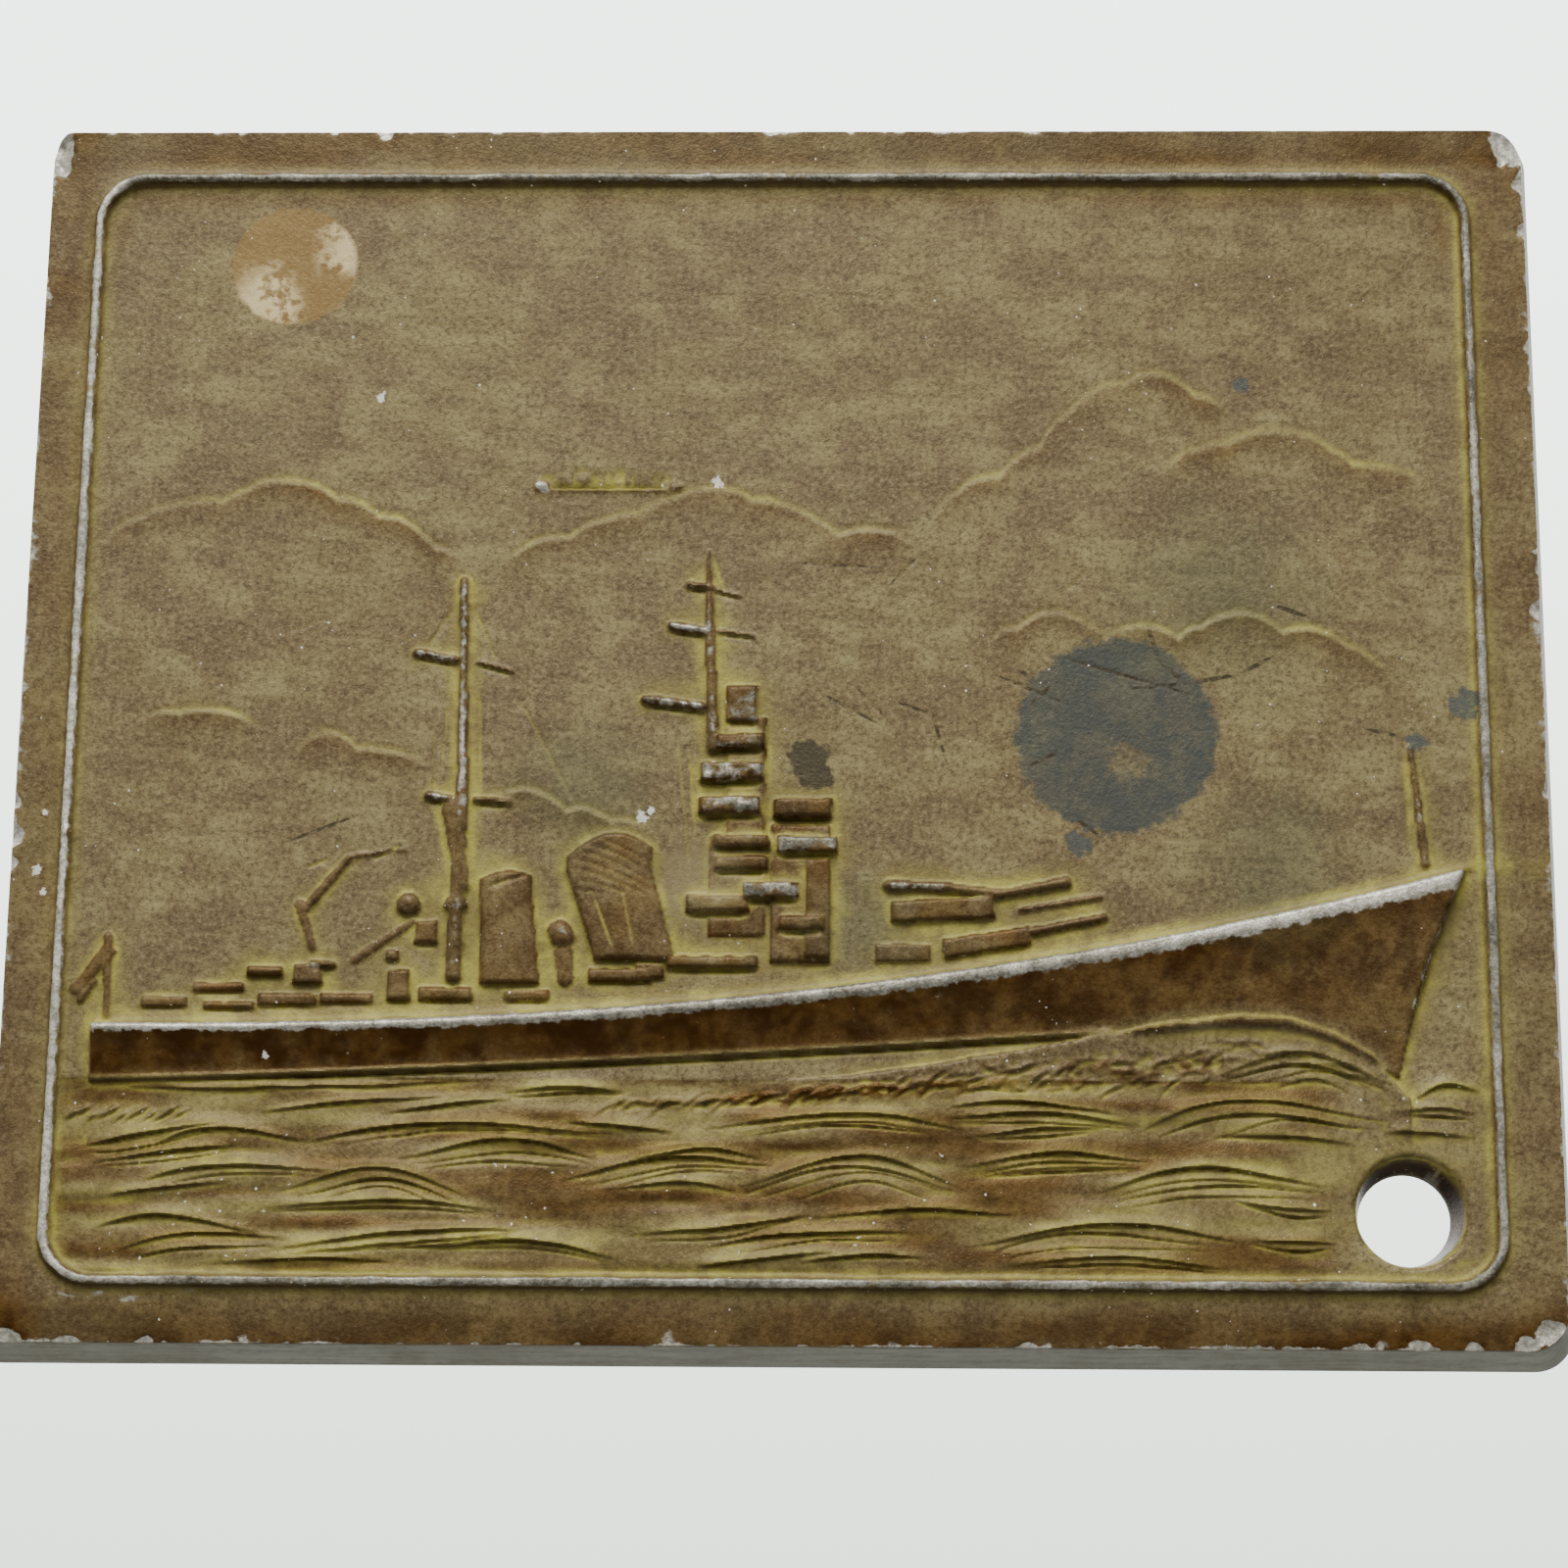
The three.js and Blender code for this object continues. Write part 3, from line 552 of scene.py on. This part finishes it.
# Guns forward, boats, boxes and a crane aft, and a staff at each end of the ship.
block(13.4, -16.5, 8.4, 1.9, 0.55, 0.05, 0.05)
block(16.9, -19.2, 7.2, 1.7, 0.45, 0.16, 0.05)
block(10.2, -20.1, 4.6, 1.6, 0.3, 0, 0.05)
spar(9, -14.5, 14, -14.6, 0.5, 0.36, 0.6, 0.45)
spar(13, -14.7, 18, -15.1, 0.42, 0.42, 0.55, 0.2)
spar(17.6, -15.3, 23.3, -14.2, 0.36, 0.5, 0.62, 0.2)
spar(19.6, -16.5, 26, -15.4, 0.22, 0.3, 0.3)
spar(20, -18.4, 26.4, -17.1, 0.4, 0.34, 0.5, 0.1)
BOXES = [
    (-28.3, -18.5, 1.9, 2, 0.4, 0.1), (-30.4, -22.9, 1.9, 2.6, 0.55, 0.2), (-12.6, -22, 5.2, 1.2, 0.55, 0.15),
    (-10.2, -21.6, 2.4, 1.4, 0.4, 0), (-26.6, -23.6, 4.4, 1.2, 0.4, 0.1), (-20.1, -23.7, 3.7, 1, 0.3, 0),
    (-49.3, -24.3, 3.8, 1, 0.3, 0), (-44.9, -23.1, 4.2, 0.8, 0.3, 0.1), (-44.1, -24.6, 4.2, 0.7, 0.35, 0.05),
    (-39.3, -24.1, 4.8, 1.1, 0.3, 0), (-34.6, -24, 4.4, 0.9, 0.3, 0), (-41.2, -21.8, 3, 0.9, 0.65, 0.35),
    (-37.8, -22, 2.4, 1.7, 0.6, 0.3), (-36.6, -21.2, 2.2, 0.6, 0.6, 0.3), (-31, -20.4, 1.2, 1, 0.35, 0.2),
]
for x, z, width, tall, rise, rub in BOXES:
    block(x, z, width, tall, rise, 0, rub)
    score(x - width / 2, z - tall / 2 - 0.12, x + width / 2, z - tall / 2 - 0.12, 0.14, 0.12)
for x in (-29.8, -26):
    spar(x - 0.05, -16.2, x + 0.05, -16.2, 0.95, 0.95, 0.75, 0.35)
    spar(x, -16.1, x + 0.05, -16.1, 0.4, 0.4, 0.9, 0.3)
spar(-38.6, -16.2, -37.5, -19.8, 0.45, 0.3, 0.3)
spar(-38.2, -16.6, -34.7, -12.2, 0.42, 0.3, 0.32)
spar(-34.8, -12.2, -30.4, -11.6, 0.25, 0.2, 0.2)
score(-33, -12.4, -30.6, -11.4, 0.25, 0.2)
score(-38.4, -13.2, -36.4, -12.4, 0.15, 0.15)
spar(-34, -20.8, -29.4, -17.6, 0.4, 0.3, 0.2)
spar(-54.1, -18.9, -53.9, -25.6, 0.38, 0.3, 0.42, 0.15)
block(-55.2, -21.8, 1.4, 5, 0.38, -0.62, 0.15, 0.5)
spar(-56.1, -24.2, -55, -22.6, 0.3, 0.2, 0.4, 0.2)
spar(51.4, -2.8, 52.3, -12.6, 0.26, 0.42, 0.36, 0.45)
score(50.9, -3, 51.2, -12, 0.08, 0.3)

# Damage to the face: a gash left in the sky by a tool, scratches, nicks along the rim and
# broken corners that show bare grey metal, lumps on the bead, and crumbs of bare metal at
# the lower left. Then the whole cast surface is slightly uneven.
GASH_X = -14.5
GASH_Z = 20.1
CRUMBS_X = -50
CRUMBS_Z = -48.1
LOWEST = 2.5

gash = 1 - ((grid_x - GASH_X) / 6) ** 2 - ((grid_z - GASH_Z) / 1.15) ** 2
height += np.where(gash > 0, 0.14 * noise(0.4, 0.9, 61) - 0.1 * np.clip(gash * 2, 0, 1), 0)
olive += np.where(gash > 0, 0.15 + 0.3 * noise(0.5, 2, 62), 0)
score(-20.4, 19.5, -8.4, 19.6, 0.26, 0.13)
spar(-20, 19.15, -8.8, 19.25, 0.16, 0.12, 0.2, 0.8)
spar(-20.3, 19.6, -19.6, 19.7, 0.4, 0.3, 0.35, 0.9)
spar(-9, 19.6, -8.4, 19.5, 0.35, 0.3, 0.3, 0.9)
SCRATCHES = [
    (1, 13, 8, 12.6), (9, 11, 11.4, 13.6), (3, 2, 8.4, -1), (6.4, 2.2, 9, -0.6), (9.6, 1, 12.6, -0.1),
    (12.4, 0.6, 13.8, -4.4), (17.6, 3.4, 23.6, 0.8), (22.6, 5, 34, 1.6), (-40, -11, -34, -8.6),
    (-41, 6.8, -36.4, 8.4), (7.4, -0.6, 8.9, -0.7), (25.6, 12.6, 23, 10), (-24.6, 21, -27, 17.6),
]
for x, z, end_x, end_z in SCRATCHES:
    score(x, z, end_x, end_z, 0.06, 0.1)

nicks = np.clip(1.3 * noise(1.0, 1.0, 63) * noise(7, 7, 64) + 0.4 * noise(0.5, 0.5, 65), 0, 1)
rim_wear = np.clip(1 - inside / (0.14 + 0.26 * nicks), 0, 1)
height -= 0.18 * nicks * rim_wear
thin_line = np.clip(1.3 - inside / 0.14, 0, 1) * np.clip(0.5 + 0.9 * noise(2.6, 2.6, 67), 0, 1)
thin_line *= np.where(grid_z > front_height / 2 - 2, 0.4, 1)
worn = np.maximum(worn, np.maximum(np.clip(2.6 * rim_wear * nicks, 0, 1), thin_line))
CHIPS = [
    (-62.3, 50.2, 1.5, 1.7), (-61.7, 48.4, 0.9, 0.8), (61.8, 50.2, 2.2, 1.1), (62.4, 46.8, 0.9, 0.6),
    (62.4, 42.5, 0.7, 0.5), (62.3, 8.9, 0.8, 0.5), (62.4, -6.5, 0.6, 0.4), (-62.4, -7.6, 0.7, 0.5),
    (-62.4, -10.6, 1, 0.7), (-62.3, -12.8, 0.6, 0.4), (-60.6, -51.8, 1.3, 1), (50.6, -51.9, 1.1, 0.6),
    (55, -51.9, 0.9, 0.5), (46, -51.8, 0.7, 0.4), (60.9, -50.4, 1.2, 0.6), (59, -51.6, 1, 0.7),
    (-55.6, -51.9, 0.9, 0.6), (-49.4, -51.9, 0.8, 0.4), (20, -51.9, 0.7, 0.3), (-34, 51.8, 0.8, 0.3),
]
for x, z, reach, depth in CHIPS:
    away = np.hypot(grid_x - x, grid_z - z) / reach + 0.25 * noise(0.6, 0.6, 66)
    dent = np.clip(1.1 - away, 0, 1)
    height -= 0.55 * depth * dent
    worn = np.maximum(worn, np.clip(3 * dent, 0, 1))
    bright = np.where(dent > 0, 0.8 + 0.2 * noise(0.7, 0.7, 69), bright)

LUMPS = [(-6.4, 47.2, 0.7), (56.9, -46.3, 0.9), (50.2, -46.7, 1), (-57.8, -10.4, 0.8), (-45.8, -46.6, 0.5)]
for x, z, reach in LUMPS:
    height += 0.3 * np.exp(-((grid_x - x) ** 2 + (grid_z - z) ** 2) / (0.5 * reach) ** 2) * (from_bead < 0.9)
crumbs = (abs(grid_x - CRUMBS_X) < 6.5) & (abs(grid_z - CRUMBS_Z) < 0.7)
worn = np.maximum(worn, np.where(crumbs, np.clip(2.4 * noise(0.6, 0.4, 76) - 0.5, 0, 1), 0))
from_hole = np.hypot(grid_x - HOLE_X, grid_z - HOLE_Z)
height -= 0.5 * np.clip(1 - (from_hole - HOLE_FRONT) / 0.5, 0, 1) ** 2

height = 0.6 * height + 0.4 * soften(height, 1)
height += 0.004 * noise(2.6, 2.2, 71) + 0.03 * noise(14, 11, 73)
height = np.clip(height, LOWEST, HIGHEST - 0.01)

# Two more maps come from the relief itself: wax and dust turn olive in the recesses beside
# raised work, and faces that lean down are painted dark as painted shade.
recess = np.clip((soften(height, 3) - height - 0.015) / 0.06, 0, 1) * np.clip((from_bead - 1) / 0.8, 0, 1)
olive = np.maximum(np.maximum(olive, 0.9 * recess) * (1 - 0.95 * hull), foot_wax)
olive = np.clip(olive, 0, 1)
slope = np.gradient(height, rows, axis=0)
steep = np.clip((slope - np.where(in_sea, 0.5, 0.25)) * 1.3, 0, 1)
shade = np.where(in_sea, 0.5 * steep + 0.4 * soften(steep, 1), soften(steep, 1))
# The shade map also darkens the outermost rims at top and bottom; at the bottom, which leans down, that is
# painted shade.
shade = np.maximum(shade, 0.3 * np.clip((abs(grid_z) - 48) / 1.5, 0, 1))
brown = np.clip(np.maximum(brown, 0) * np.where(in_sea, 1, 1 - 0.6 * recess), 0, 1)
worn = soften(np.clip(worn, 0, 1), 1)
bright = soften(np.clip(bright, 0, 1), 1)

# The casting's mesh: the face as quads around the hole, a drafted wall with file marks,
# the tapered bore, and a flat back. It is then thinned where the metal is plain.
WALL_RINGS = 9
BORE_RINGS = 6
FILE_MARK = 0.05
HALF_PLATE = 60
TRIANGLES = 190000

front = np.stack([grid_x, -height, grid_z], -1).reshape(-1, 3)
numbers = np.arange(front.shape[0]).reshape(grid_x.shape)
quads = np.stack([numbers[:-1, :-1], numbers[:-1, 1:], numbers[1:, 1:], numbers[1:, :-1]], -1).reshape(-1, 4)
in_hole = (ring < 1).reshape(-1)
quads = quads[~in_hole[quads].any(axis=1)]
left, right = middle_column - half_columns, middle_column + half_columns
bottom, top = middle_row - half_rows, middle_row + half_rows
outer_loop = np.concatenate([numbers[0, :-1], numbers[:-1, -1], numbers[-1, :0:-1], numbers[:0:-1, 0]])
bore_loop = np.concatenate([
    numbers[bottom, left:right], numbers[bottom:top, right],
    numbers[top, right:left:-1], numbers[top:bottom:-1, left]])


def walls(loop, back_points, rings, start):
    """Rings of points from a loop on the face to its points on the back, and the quads between."""
    points = []
    faces = []
    last = loop
    marks = np.random.RandomState(81).uniform(0, FILE_MARK, rings + 1)
    for i in range(1, rings + 1):
        share = i / rings
        step = front[loop] + (back_points - front[loop]) * share
        inward = marks[i] * (1 - share) * (i < rings)
        step[:, [0, 2]] *= 1 - inward / HALF_PLATE
        this = start + len(points) * len(loop) + np.arange(len(loop))
        points.append(step)
        faces.append(np.stack([last, this, np.roll(this, -1), np.roll(last, -1)], -1))
        last = this
    return np.concatenate(points), np.concatenate(faces), last


outer_back = front[outer_loop] * [WIDTH / front_width, 0, HEIGHT / front_height]
outer_points, outer_faces, outer_last = walls(outer_loop, outer_back, WALL_RINGS, len(front))
bore_back = front[bore_loop] - [HOLE_X, 0, HOLE_Z]
bore_back = bore_back * [HOLE_BACK / HOLE_FRONT, 0, HOLE_BACK / HOLE_FRONT] + [HOLE_X, 0, HOLE_Z]
bore_points, bore_faces, bore_last = walls(
    bore_loop, bore_back, BORE_RINGS, len(front) + len(outer_points))
points = np.concatenate([front, outer_points, bore_points])
bore_faces = bore_faces[:, ::-1]
back_numbers = np.concatenate([outer_last, bore_last])
back_loops = [[(x, z, 0) for x, _, z in points[loop]] for loop in (outer_last, bore_last)]
back_faces = back_numbers[np.array(tessellate_polygon(back_loops))]

mesh = bpy.data.meshes.new("plaque_casting")
faces = quads.tolist() + outer_faces.tolist() + bore_faces.tolist() + back_faces.tolist()
mesh.from_pydata((points * MM).tolist(), [], faces)
casting = bpy.data.objects.new("plaque_casting", mesh)


def keep(name, face, wall, bore):
    """Stores a map on the points: the face's own, one value for wall and back, one for the bore."""
    inner = np.full(len(bore_points), bore)
    inner[-len(bore_loop):] = wall
    values = np.concatenate([face.reshape(-1), np.full(len(outer_points), wall), inner])
    attribute = mesh.attributes.new(name, "FLOAT", "POINT")
    attribute.data.foreach_set("value", values.astype(np.float32))


keep("olive", olive, 0.0, 0.0)
keep("worn", worn, 0.0, 0.0)
keep("bright", bright, 0.6, 0.6)
# Inside the bore the brown and shade values paint it dark as painted shade.
keep("brown", brown, 0.1, 1.0)
keep("shade", shade, 0.0, 0.5)
keep("side", np.zeros_like(height), 1.0, 0.0)
bpy.context.collection.objects.link(casting)
bpy.ops.object.select_all(action="DESELECT")
casting.select_set(True)
bpy.context.view_layer.objects.active = casting
bpy.ops.object.mode_set(mode="EDIT")
bpy.ops.mesh.select_all(action="SELECT")
bpy.ops.mesh.delete_loose()
bpy.ops.mesh.select_all(action="SELECT")
bpy.ops.mesh.normals_make_consistent(inside=False)
bpy.ops.object.mode_set(mode="OBJECT")
now = sum(len(polygon.vertices) - 2 for polygon in mesh.polygons)
thin = casting.modifiers.new("thin", "DECIMATE")
thin.ratio = TRIANGLES / now
bpy.ops.object.modifier_apply(modifier="thin")
bpy.ops.object.shade_smooth_by_angle(angle=math.radians(50))

# The finish: a zinc-based white metal, cast and then bronzed with a thin brown lacquer.
# It looks mottled and dull, has gone olive where dust and wax sit in the recesses, and is
# rubbed to grey metal on the high edges. The wall and the back are bare metal.


def to_linear(colour):
    """An sRGB hex colour as linear red, green, blue and 1."""
    parts = [int(colour[i:i + 2], 16) / 255 for i in (1, 3, 5)]
    return [p / 12.92 if p <= 0.04045 else ((p + 0.055) / 1.055) ** 2.4 for p in parts] + [1]


bronzing = bpy.data.materials.new("bronzed_white_metal")
bronzing.use_nodes = True
tree = bronzing.node_tree
tree.nodes.clear()


def node(kind, sockets=None, **settings):
    """Adds a node with its settings, and fills or links its sockets by name or number."""
    made = tree.nodes.new(kind)
    for name, value in settings.items():
        setattr(made, name, value)
    for name, value in (sockets or {}).items():
        if isinstance(value, bpy.types.NodeSocket):
            tree.links.new(value, made.inputs[name])
        else:
            made.inputs[name].default_value = value
    return made


def blend(below, above, share):
    """Lays one colour over another by a share from 0 to 1."""
    mix = node("ShaderNodeMix", data_type="RGBA")
    for number, value in ((0, share), (6, below), (7, above)):
        value = to_linear(value) if isinstance(value, str) else value
        if isinstance(value, bpy.types.NodeSocket):
            tree.links.new(value, mix.inputs[number])
        else:
            mix.inputs[number].default_value = value
    return mix.outputs[2]


def between(value, start, end, first=0.0, last=1.0):
    """Maps a value from start..end to first..last, smoothly and no further."""
    sockets = {"Value": value, "From Min": start, "From Max": end, "To Min": first, "To Max": last}
    return node("ShaderNodeMapRange", sockets, interpolation_type="SMOOTHSTEP").outputs[0]


def times(one, other):
    return node("ShaderNodeMath", {0: one, 1: other}, operation="MULTIPLY").outputs[0]


def plus(one, other):
    return node("ShaderNodeMath", {0: one, 1: other}, operation="ADD").outputs[0]


on_piece = node("ShaderNodeTexCoord").outputs["Object"]
in_mm = node("ShaderNodeMapping", {"Vector": on_piece, "Scale": (1 / MM, 1 / MM, 1 / MM)}).outputs[0]


def mottle(size_mm, detail, stretch=None, turn=0.0, roughness=0.55):
    """Noise whose blotches are about size_mm across, or longer where it is stretched."""
    place = in_mm
    if stretch:
        sockets = {"Vector": in_mm, "Rotation": (0, turn, 0), "Scale": [1 / part for part in stretch]}
        place = node("ShaderNodeMapping", sockets, vector_type="TEXTURE").outputs[0]
    sockets = {"Vector": place, "Scale": 1 / size_mm, "Detail": detail, "Roughness": roughness}
    return node("ShaderNodeTexNoise", sockets).outputs[0]


wander_fine = between(mottle(0.8, 3), 0.25, 0.75, -1, 1)
wander_broad = between(mottle(3.5, 3), 0.25, 0.75, -1, 1)


def stain(x, z, radius, ragged, soft, wander):
    """The share of a round stain at x, z whose edge wanders by ragged millimetres."""
    centre = (x, -PANEL, z)
    away = node("ShaderNodeVectorMath", {0: in_mm, 1: centre}, operation="DISTANCE").outputs["Value"]
    return between(plus(away, times(wander, ragged)), radius - soft, radius + soft, 1.0, 0.0)


on_plane = node("ShaderNodeMapping", {"Vector": in_mm, "Scale": (1, 0, 1)}).outputs[0]


def nearest(reaches):
    """The least of several reaches."""
    least = reaches[0]
    for reach in reaches[1:]:
        least = node("ShaderNodeMath", {0: least, 1: reach}, operation="MINIMUM").outputs[0]
    return least


def spots(marks):
    """How far out of the nearest of several round marks a place lies: 1 on its edge."""
    reaches = []
    for x, z, radius in marks:
        off = node("ShaderNodeVectorMath", {0: on_plane, 1: (x, 0, z)}, operation="DISTANCE")
        reaches.append(times(off.outputs["Value"], 1 / radius))
    return nearest(reaches)


def kept(name):
    return node("ShaderNodeAttribute", attribute_name=name).outputs["Fac"]


broad = between(mottle(14, 2), 0.36, 0.64)
cloudy = between(mottle(3.2, 2, roughness=0.7), 0.38, 0.62)
patches = between(mottle(6.0, 2, (0.6, 1, 1), 0.1, 0.7), 0.44, 0.6)
grain = between(mottle(0.5, 3, roughness=0.78), 0.34, 0.66)
streaks = between(mottle(1.3, 2, (0.2, 1, 1), 0.12, 0.7), 0.4, 0.64)

finish = blend("#6F5F42", "#796C47", broad)
finish = blend(finish, "#92875C", times(cloudy, 0.62))
finish = blend(finish, "#5E4B36", times(patches, 0.5))
finish = blend(finish, "#50402B", times(streaks, 0.36))
finish = blend(finish, "#32251A", times(between(grain, 0.55, 1.0), 0.55))
finish = blend(finish, "#A0946D", times(between(grain, 0.0, 0.35, 1.0, 0.0), 0.36))
dark = blend("#351D09", "#5A401F", cloudy)
dark = blend(dark, "#2A1804", times(grain, 0.4))
# The brown map lays dark lacquer, and in places painted shade, over the finish.
finish = blend(finish, dark, kept("brown"))
wax = blend("#82773E", "#AAA24A", times(cloudy, kept("olive")))
finish = blend(finish, wax, times(kept("olive"), between(grain, 0, 1, 1.0, 0.75)))
# Painted shade: faces that lean down, the bore and the outer rims go towards near black.
finish = blend(finish, "#1C0F03", times(kept("shade"), 0.88))

# Stains: a pale round one with two crescents, a large one of ink with a thin middle, spots
# of ink and of soot, and green tints round some of them.
pale = stain(-41.4, 39.4, 5.3, 0.16, 0.25, wander_fine)
pale_holes = between(plus(wander_fine, wander_broad), -0.9, 0.3)
finish = blend(finish, "#8B6B36", times(pale, 0.6))
for x, z, radius in [(-36.5, 41, 2.5), (-44, 36.1, 3.0)]:
    crescent = times(stain(x, z, radius, 0.9, 1.2, wander_broad), pale)
    finish = blend(finish, "#D8C493", times(times(crescent, pale_holes), 0.9))
ink = stain(27.5, -1.8, 8.2, 0.35, 0.4, wander_fine)
ink_thin = between(cloudy, 0, 1, 0.82, 0.7)
ink_gap = stain(28.6, -3.8, 1.6, 0.8, 1.0, wander_fine)
finish = blend(finish, "#2C3B40", times(times(ink, ink_thin), between(ink_gap, 0, 1, 1, 0.35)))
ink_spots = spots([(24.4, -10.8, 1), (38.3, 28.6, 0.7), (52, -2.3, 0.9), (56, 1, 1.3)])
ink_spots = between(plus(ink_spots, times(wander_fine, 0.4)), 0.7, 1.2, 1, 0)
finish = blend(finish, "#31424A", times(ink_spots, 0.75))
soot = between(plus(spots([(2.3, -3.8, 1.7), (3.1, -5.2, 1.4)]), times(wander_fine, 0.25)), 0.8, 1.1, 1, 0)
finish = blend(finish, "#26251F", times(soot, 0.85))
tints = spots([(36, 10.5, 12), (7, -18, 6), (-16, -6, 8), (40, -13, 10)])
tints = between(plus(tints, times(wander_broad, 0.15)), 0, 1, 1, 0)
finish = blend(finish, "#48543C", times(tints, 0.38))
finish = blend(finish, "#A69C70", times(stain(-6.4, -15, 3, 1.2, 1.6, wander_broad), times(grain, 0.5)))

# Small marks over the finish: cracks and scratches in dark lines, and pale flecks of lint,
# drawn a little coarser than real lint so that they show.


def line_reach(x, z, end_x, end_z, half):
    """How far out of a fine line's slim ellipse a place lies: under 1 inside it."""
    turn = math.atan2(end_z - z, end_x - x)
    run = math.hypot(end_x - x, end_z - z) / 2
    sockets = {"Vector": on_plane, "Location": ((x + end_x) / 2, 0, (z + end_z) / 2),
               "Rotation": (0, -turn, 0), "Scale": (run, 1, half)}
    there = node("ShaderNodeMapping", sockets, vector_type="TEXTURE").outputs[0]
    return node("ShaderNodeVectorMath", {0: there}, operation="LENGTH").outputs["Value"]


cracks = [line_reach(x, z, end_x, end_z, 0.16) for x, z, end_x, end_z in SCRATCHES[:9]]
for x, z, end_x, end_z in [
    (33.4, 2.6, 37.6, 3.4), (37.6, 3.4, 40.6, 5), (33.4, 2.6, 31.2, 4.4), (31.2, 4.4, 30.2, 7.6),
    (33.4, 2.6, 28.6, 2.2), (20.6, 0.8, 22.2, 2.4), (19.6, 3.8, 21, 2.8), (20.4, -4.4, 22.8, -3.2),
    (24.2, -8.8, 26, -10.2), (47.8, -1.2, 50.6, -1.8), (40, 9.6, 43.8, 8.2),
]:
    cracks.append(line_reach(x, z, end_x, end_z, 0.2))
worn_thin = between(wander_fine, -0.6, 0.4, 0.2, 0.9)
finish = blend(finish, "#241C12", times(between(nearest(cracks), 0.7, 1.2, 1, 0), worn_thin))
lint = times(between(mottle(0.36, 0), 0.825, 0.84), between(broad, 0.4, 0.9))
FLECKS = [
    (-11, -8.8, 0.55), (-10.4, -8.3, 0.35), (-5.3, 20, 0.5), (-60.2, -13.4, 0.45), (-59.6, -15.2, 0.3),
    (-59.9, -8.6, 0.3), (-33.6, 27.6, 0.45), (-40.8, -28.8, 0.3),
]
flecks = plus(spots(FLECKS), grain)
finish = blend(finish, "#D8D6CC", plus(lint, between(flecks, 1.1, 1.5, 1, 0)))

# Metal shows where the finish is rubbed through, and on the wall and back, which are filed.
rub_noise = between(wander_fine, -1, 1)
rubbed = between(plus(kept("worn"), times(rub_noise, 0.3)), 0.5, 0.78)
metal_tone = blend(blend("#4C4A42", "#7E7B6F", grain), blend("#9C998C", "#DAD7CB", grain), kept("bright"))
finish = blend(finish, metal_tone, rubbed)
filed = between(mottle(0.5, 1, (0.08, 1, 0.3), 0), 0.35, 0.65)
side_tone = blend(blend("#6E6D5E", "#8E9087", filed), "#A6A8A1", between(wander_fine, -1, 1, 0.35, 0.6))
side_tone = blend(side_tone, "#5A5138", times(broad, between(wander_broad, -1, 1, 0.1, 0.3)))
finish = blend(finish, side_tone, kept("side"))

# The pits of the cast skin, coarser than real ones for the same reason.
pits = mottle(0.32, 1, roughness=0.8)
bump = node("ShaderNodeBump", {"Strength": 0.8, "Distance": 0.00006, "Height": pits})
metallic = times(rubbed, 0.35)
roughness = between(kept("brown"), 0, 1, 0.46, 0.38)
specular = blend("#E8D9B8", "#D6AC68", kept("brown"))
shader = node("ShaderNodeBsdfPrincipled", {
    "Base Color": finish, "Metallic": metallic, "Roughness": roughness,
    "Specular Tint": specular, "Normal": bump.outputs[0]})
node("ShaderNodeOutputMaterial", {"Surface": shader.outputs[0]})
casting.data.materials.append(bronzing)

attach(casting, "root")
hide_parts("plaque")

# The studio: a pale floor far below the plaque, which hangs as it would on a wall, soft
# lights from above, in front and behind, and a surround that is pale where the camera
# sees it and dim below for the light it casts.
FLOOR_DROP = 0.9
FLOOR_SIZE = 1.6
bpy.ops.object.select_all(action="DESELECT")
bpy.ops.mesh.primitive_plane_add(size=FLOOR_SIZE, location=(0, 0, -FLOOR_DROP))
floor = bpy.context.object
floor.name = "floor"
paper = bpy.data.materials.new("pale_floor")
paper.use_nodes = True
paper_shader = paper.node_tree.nodes["Principled BSDF"]
paper_shader.inputs["Base Color"].default_value = to_linear("#DADAD8")
paper_shader.inputs["Roughness"].default_value = 0.9
floor.data.materials.append(paper)


def soft_light(name, place, size, power):
    """A square area light at place that looks at the origin."""
    data = bpy.data.lights.new(name, "AREA")
    data.size = size
    data.energy = power
    light = bpy.data.objects.new(name, data)
    light.location = place
    pitch = math.atan2(math.hypot(place[0], place[1]), place[2])
    light.rotation_euler = (pitch, 0, math.atan2(place[0], -place[1]))
    bpy.context.collection.objects.link(light)


soft_light("key", (-0.1, -0.5, 0.62), 0.4, 6.2)
soft_light("back_fill", (0.2, 0.9, 0.4), 0.8, 5)

world = bpy.data.worlds.new("surround")
world.use_nodes = True
bpy.context.scene.world = world
tree = world.node_tree
tree.nodes.clear()
heading = node("ShaderNodeTexCoord").outputs["Generated"]
rise = node("ShaderNodeSeparateXYZ", {0: heading}).outputs["Z"]
room_glow = between(rise, -0.22, 0.25, 0.05, 1.2)
room = node("ShaderNodeBackground", {"Color": to_linear("#F2F2EE"), "Strength": room_glow})
backdrop_glow = between(rise, -0.1, 0.5, 2.3, 4.9)
backdrop = node("ShaderNodeBackground", {"Color": to_linear("#E2EBE4"), "Strength": backdrop_glow})
seen = node("ShaderNodeLightPath").outputs["Is Camera Ray"]
either = node("ShaderNodeMixShader", {0: seen, 1: room.outputs[0], 2: backdrop.outputs[0]})
node("ShaderNodeOutputWorld", {"Surface": either.outputs[0]})

# The camera looks up at the plaque a little from below its middle, with a long lens.
camera_data = bpy.data.cameras.new("camera")
camera_data.lens = 91.1
camera_data.sensor_width = 36
camera_data.clip_start = 0.01
camera = bpy.data.objects.new("camera", camera_data)
camera.location = (0.0086, -0.3168, -0.0906)
camera.rotation_euler = (math.radians(105.18), math.radians(-0.52), math.radians(1.35))
bpy.context.collection.objects.link(camera)
bpy.context.scene.camera = camera
